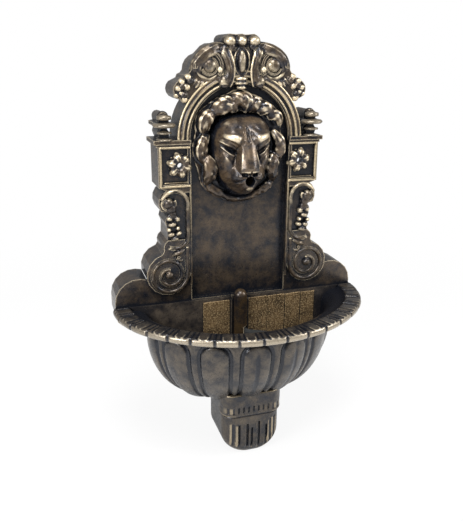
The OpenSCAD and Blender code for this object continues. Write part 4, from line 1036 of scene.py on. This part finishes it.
# %% Less gold lower down, as painted shade
def paint_shade_lower_down(piece, z_low, z_high, least):
    """Takes the gold back towards the lower end: painted shade, where less light falls from above."""
    for v, mark in zip(piece.data.vertices, piece.data.attributes["rub"].data):
        t = min(1, max(0, (height_of(v.co) - z_low) / (z_high - z_low)))
        mark.value = min(mark.value, 0.5) + max(mark.value - 0.5, 0) * (least + (1 - least) * t)


for name in ("pilaster_scrolls", "mouldings"):
    paint_shade_lower_down(bpy.data.objects[name], 320, 450, 0.62)
paint_shade_lower_down(bpy.data.objects["lion_mane"], 415, 510, 0.45)
print("gold fades below the boxes and under the lion's chin")

# %% Rosettes with pointed petals
HOLE_X = 95
petals = [rope(turn_points(HOLE_X, DATUM, 59.5, 5.6, 5.6, 0, 360, 2.3, 2.3))]
for i in range(6):
    for turn_by, size in ((15, 1.0), (45, 0.86)):
        a = radians(turn_by + 60 * i)
        c, s = cos(a), sin(a)
        petals.append(rope([(HOLE_X + d * size * c, DATUM + d * size * s, out, r * size) for d, out, r in (
            (4.0, 55, 4.4), (8, 57, 7.4), (12, 57, 8.4), (15.5, 56, 5.6), (19.5, 54.5, 1.2))]))
rose = carve(petals + mirror_parts(petals), "rosettes", crest_bronze, grain_mm=0.7, soften=2, rub_steps=22,
             reach=0.0007, waves=0.0002)
for s in (-1, 1):
    bpy.ops.mesh.primitive_cylinder_add(vertices=32, radius=0.0042, depth=0.04, location=at(s * HOLE_X, DATUM, 58),
                                        rotation=(radians(90), 0, 0))
    drill_out(rose, bpy.context.object)
print("rosettes", len(rose.data.polygons), "faces with their screw holes")

# %% [markdown]
# ## Coats for the other parts
# The nodes that are right as built keep their solids and get their own materials: painted bronze on
# the panel and the hose cover, plain moulded plastic, rubber, brass, steel and ground ceramic inside.

# %% Plain materials
def plain(name, colour, rough, metal=0.0, second=None):
    """A plain material with a faint change of tone and gloss."""
    look = bpy.data.materials.new(name)
    t = new_tree(look)
    face = add(t, "BsdfPrincipled", {"Metallic": metal})
    pattern = clouds(t, 60, 3)
    second = second or [min(255, c * 1.12) for c in colour]
    tones = add(t, "Mix", {6: tint(*colour), 7: tint(*second)}, data_type="RGBA")
    wire(t, (step(t, 0.35, 0.65, pattern), tones.inputs["Factor"]), (tones.outputs[2], face.inputs["Base Color"]),
         (step(t, 0.3, 0.7, pattern, rough - 0.05, rough + 0.05), face.inputs["Roughness"]),
         (face.outputs[0], add(t, "OutputMaterial").inputs["Surface"]))
    return look


looks = {"back_panel": panel_bronze, "corbel": foot_bronze, "basin": bowl_bronze, "lion_mask": lion_bronze,
         "hose_cover": bronze("cover_bronze", carved=False, brown=0.9, mid=(92, 72, 44))}
for look, names in (
        (plain("dark_plastic", (38, 39, 42), 0.45), "elbow hose_clips pump_body outlet_adaptor"),
        (plain("grey_plastic", (88, 91, 94), 0.45), "volute pump_filter flow_dial"),
        (plain("hose_rubber", (20, 22, 22), 0.85), "riser_hose"),
        (plain("black_rubber", (30, 30, 31), 0.6), "drain_gasket drain_plug suction_feet cable_gland"),
        (plain("dull_brass", (178, 146, 92), 0.35, 1.0, (150, 116, 70)), "spout spout_nut drain_bush drain_nut"),
        (plain("plain_steel", (170, 172, 175), 0.3, 1.0), "mask_screws clip_screws basin_screws"),
        (plain("ground_ceramic", (232, 230, 222), 0.3), "pump_shaft"),
        (plain("rotor_plastic", (214, 212, 206), 0.4), "impeller")):
    looks.update((name, look) for name in names.split())
for name, piece in nodes.items():
    piece.data.materials.clear()
    piece.data.materials.append(looks[name])
print(len(nodes), "nodes have their materials")
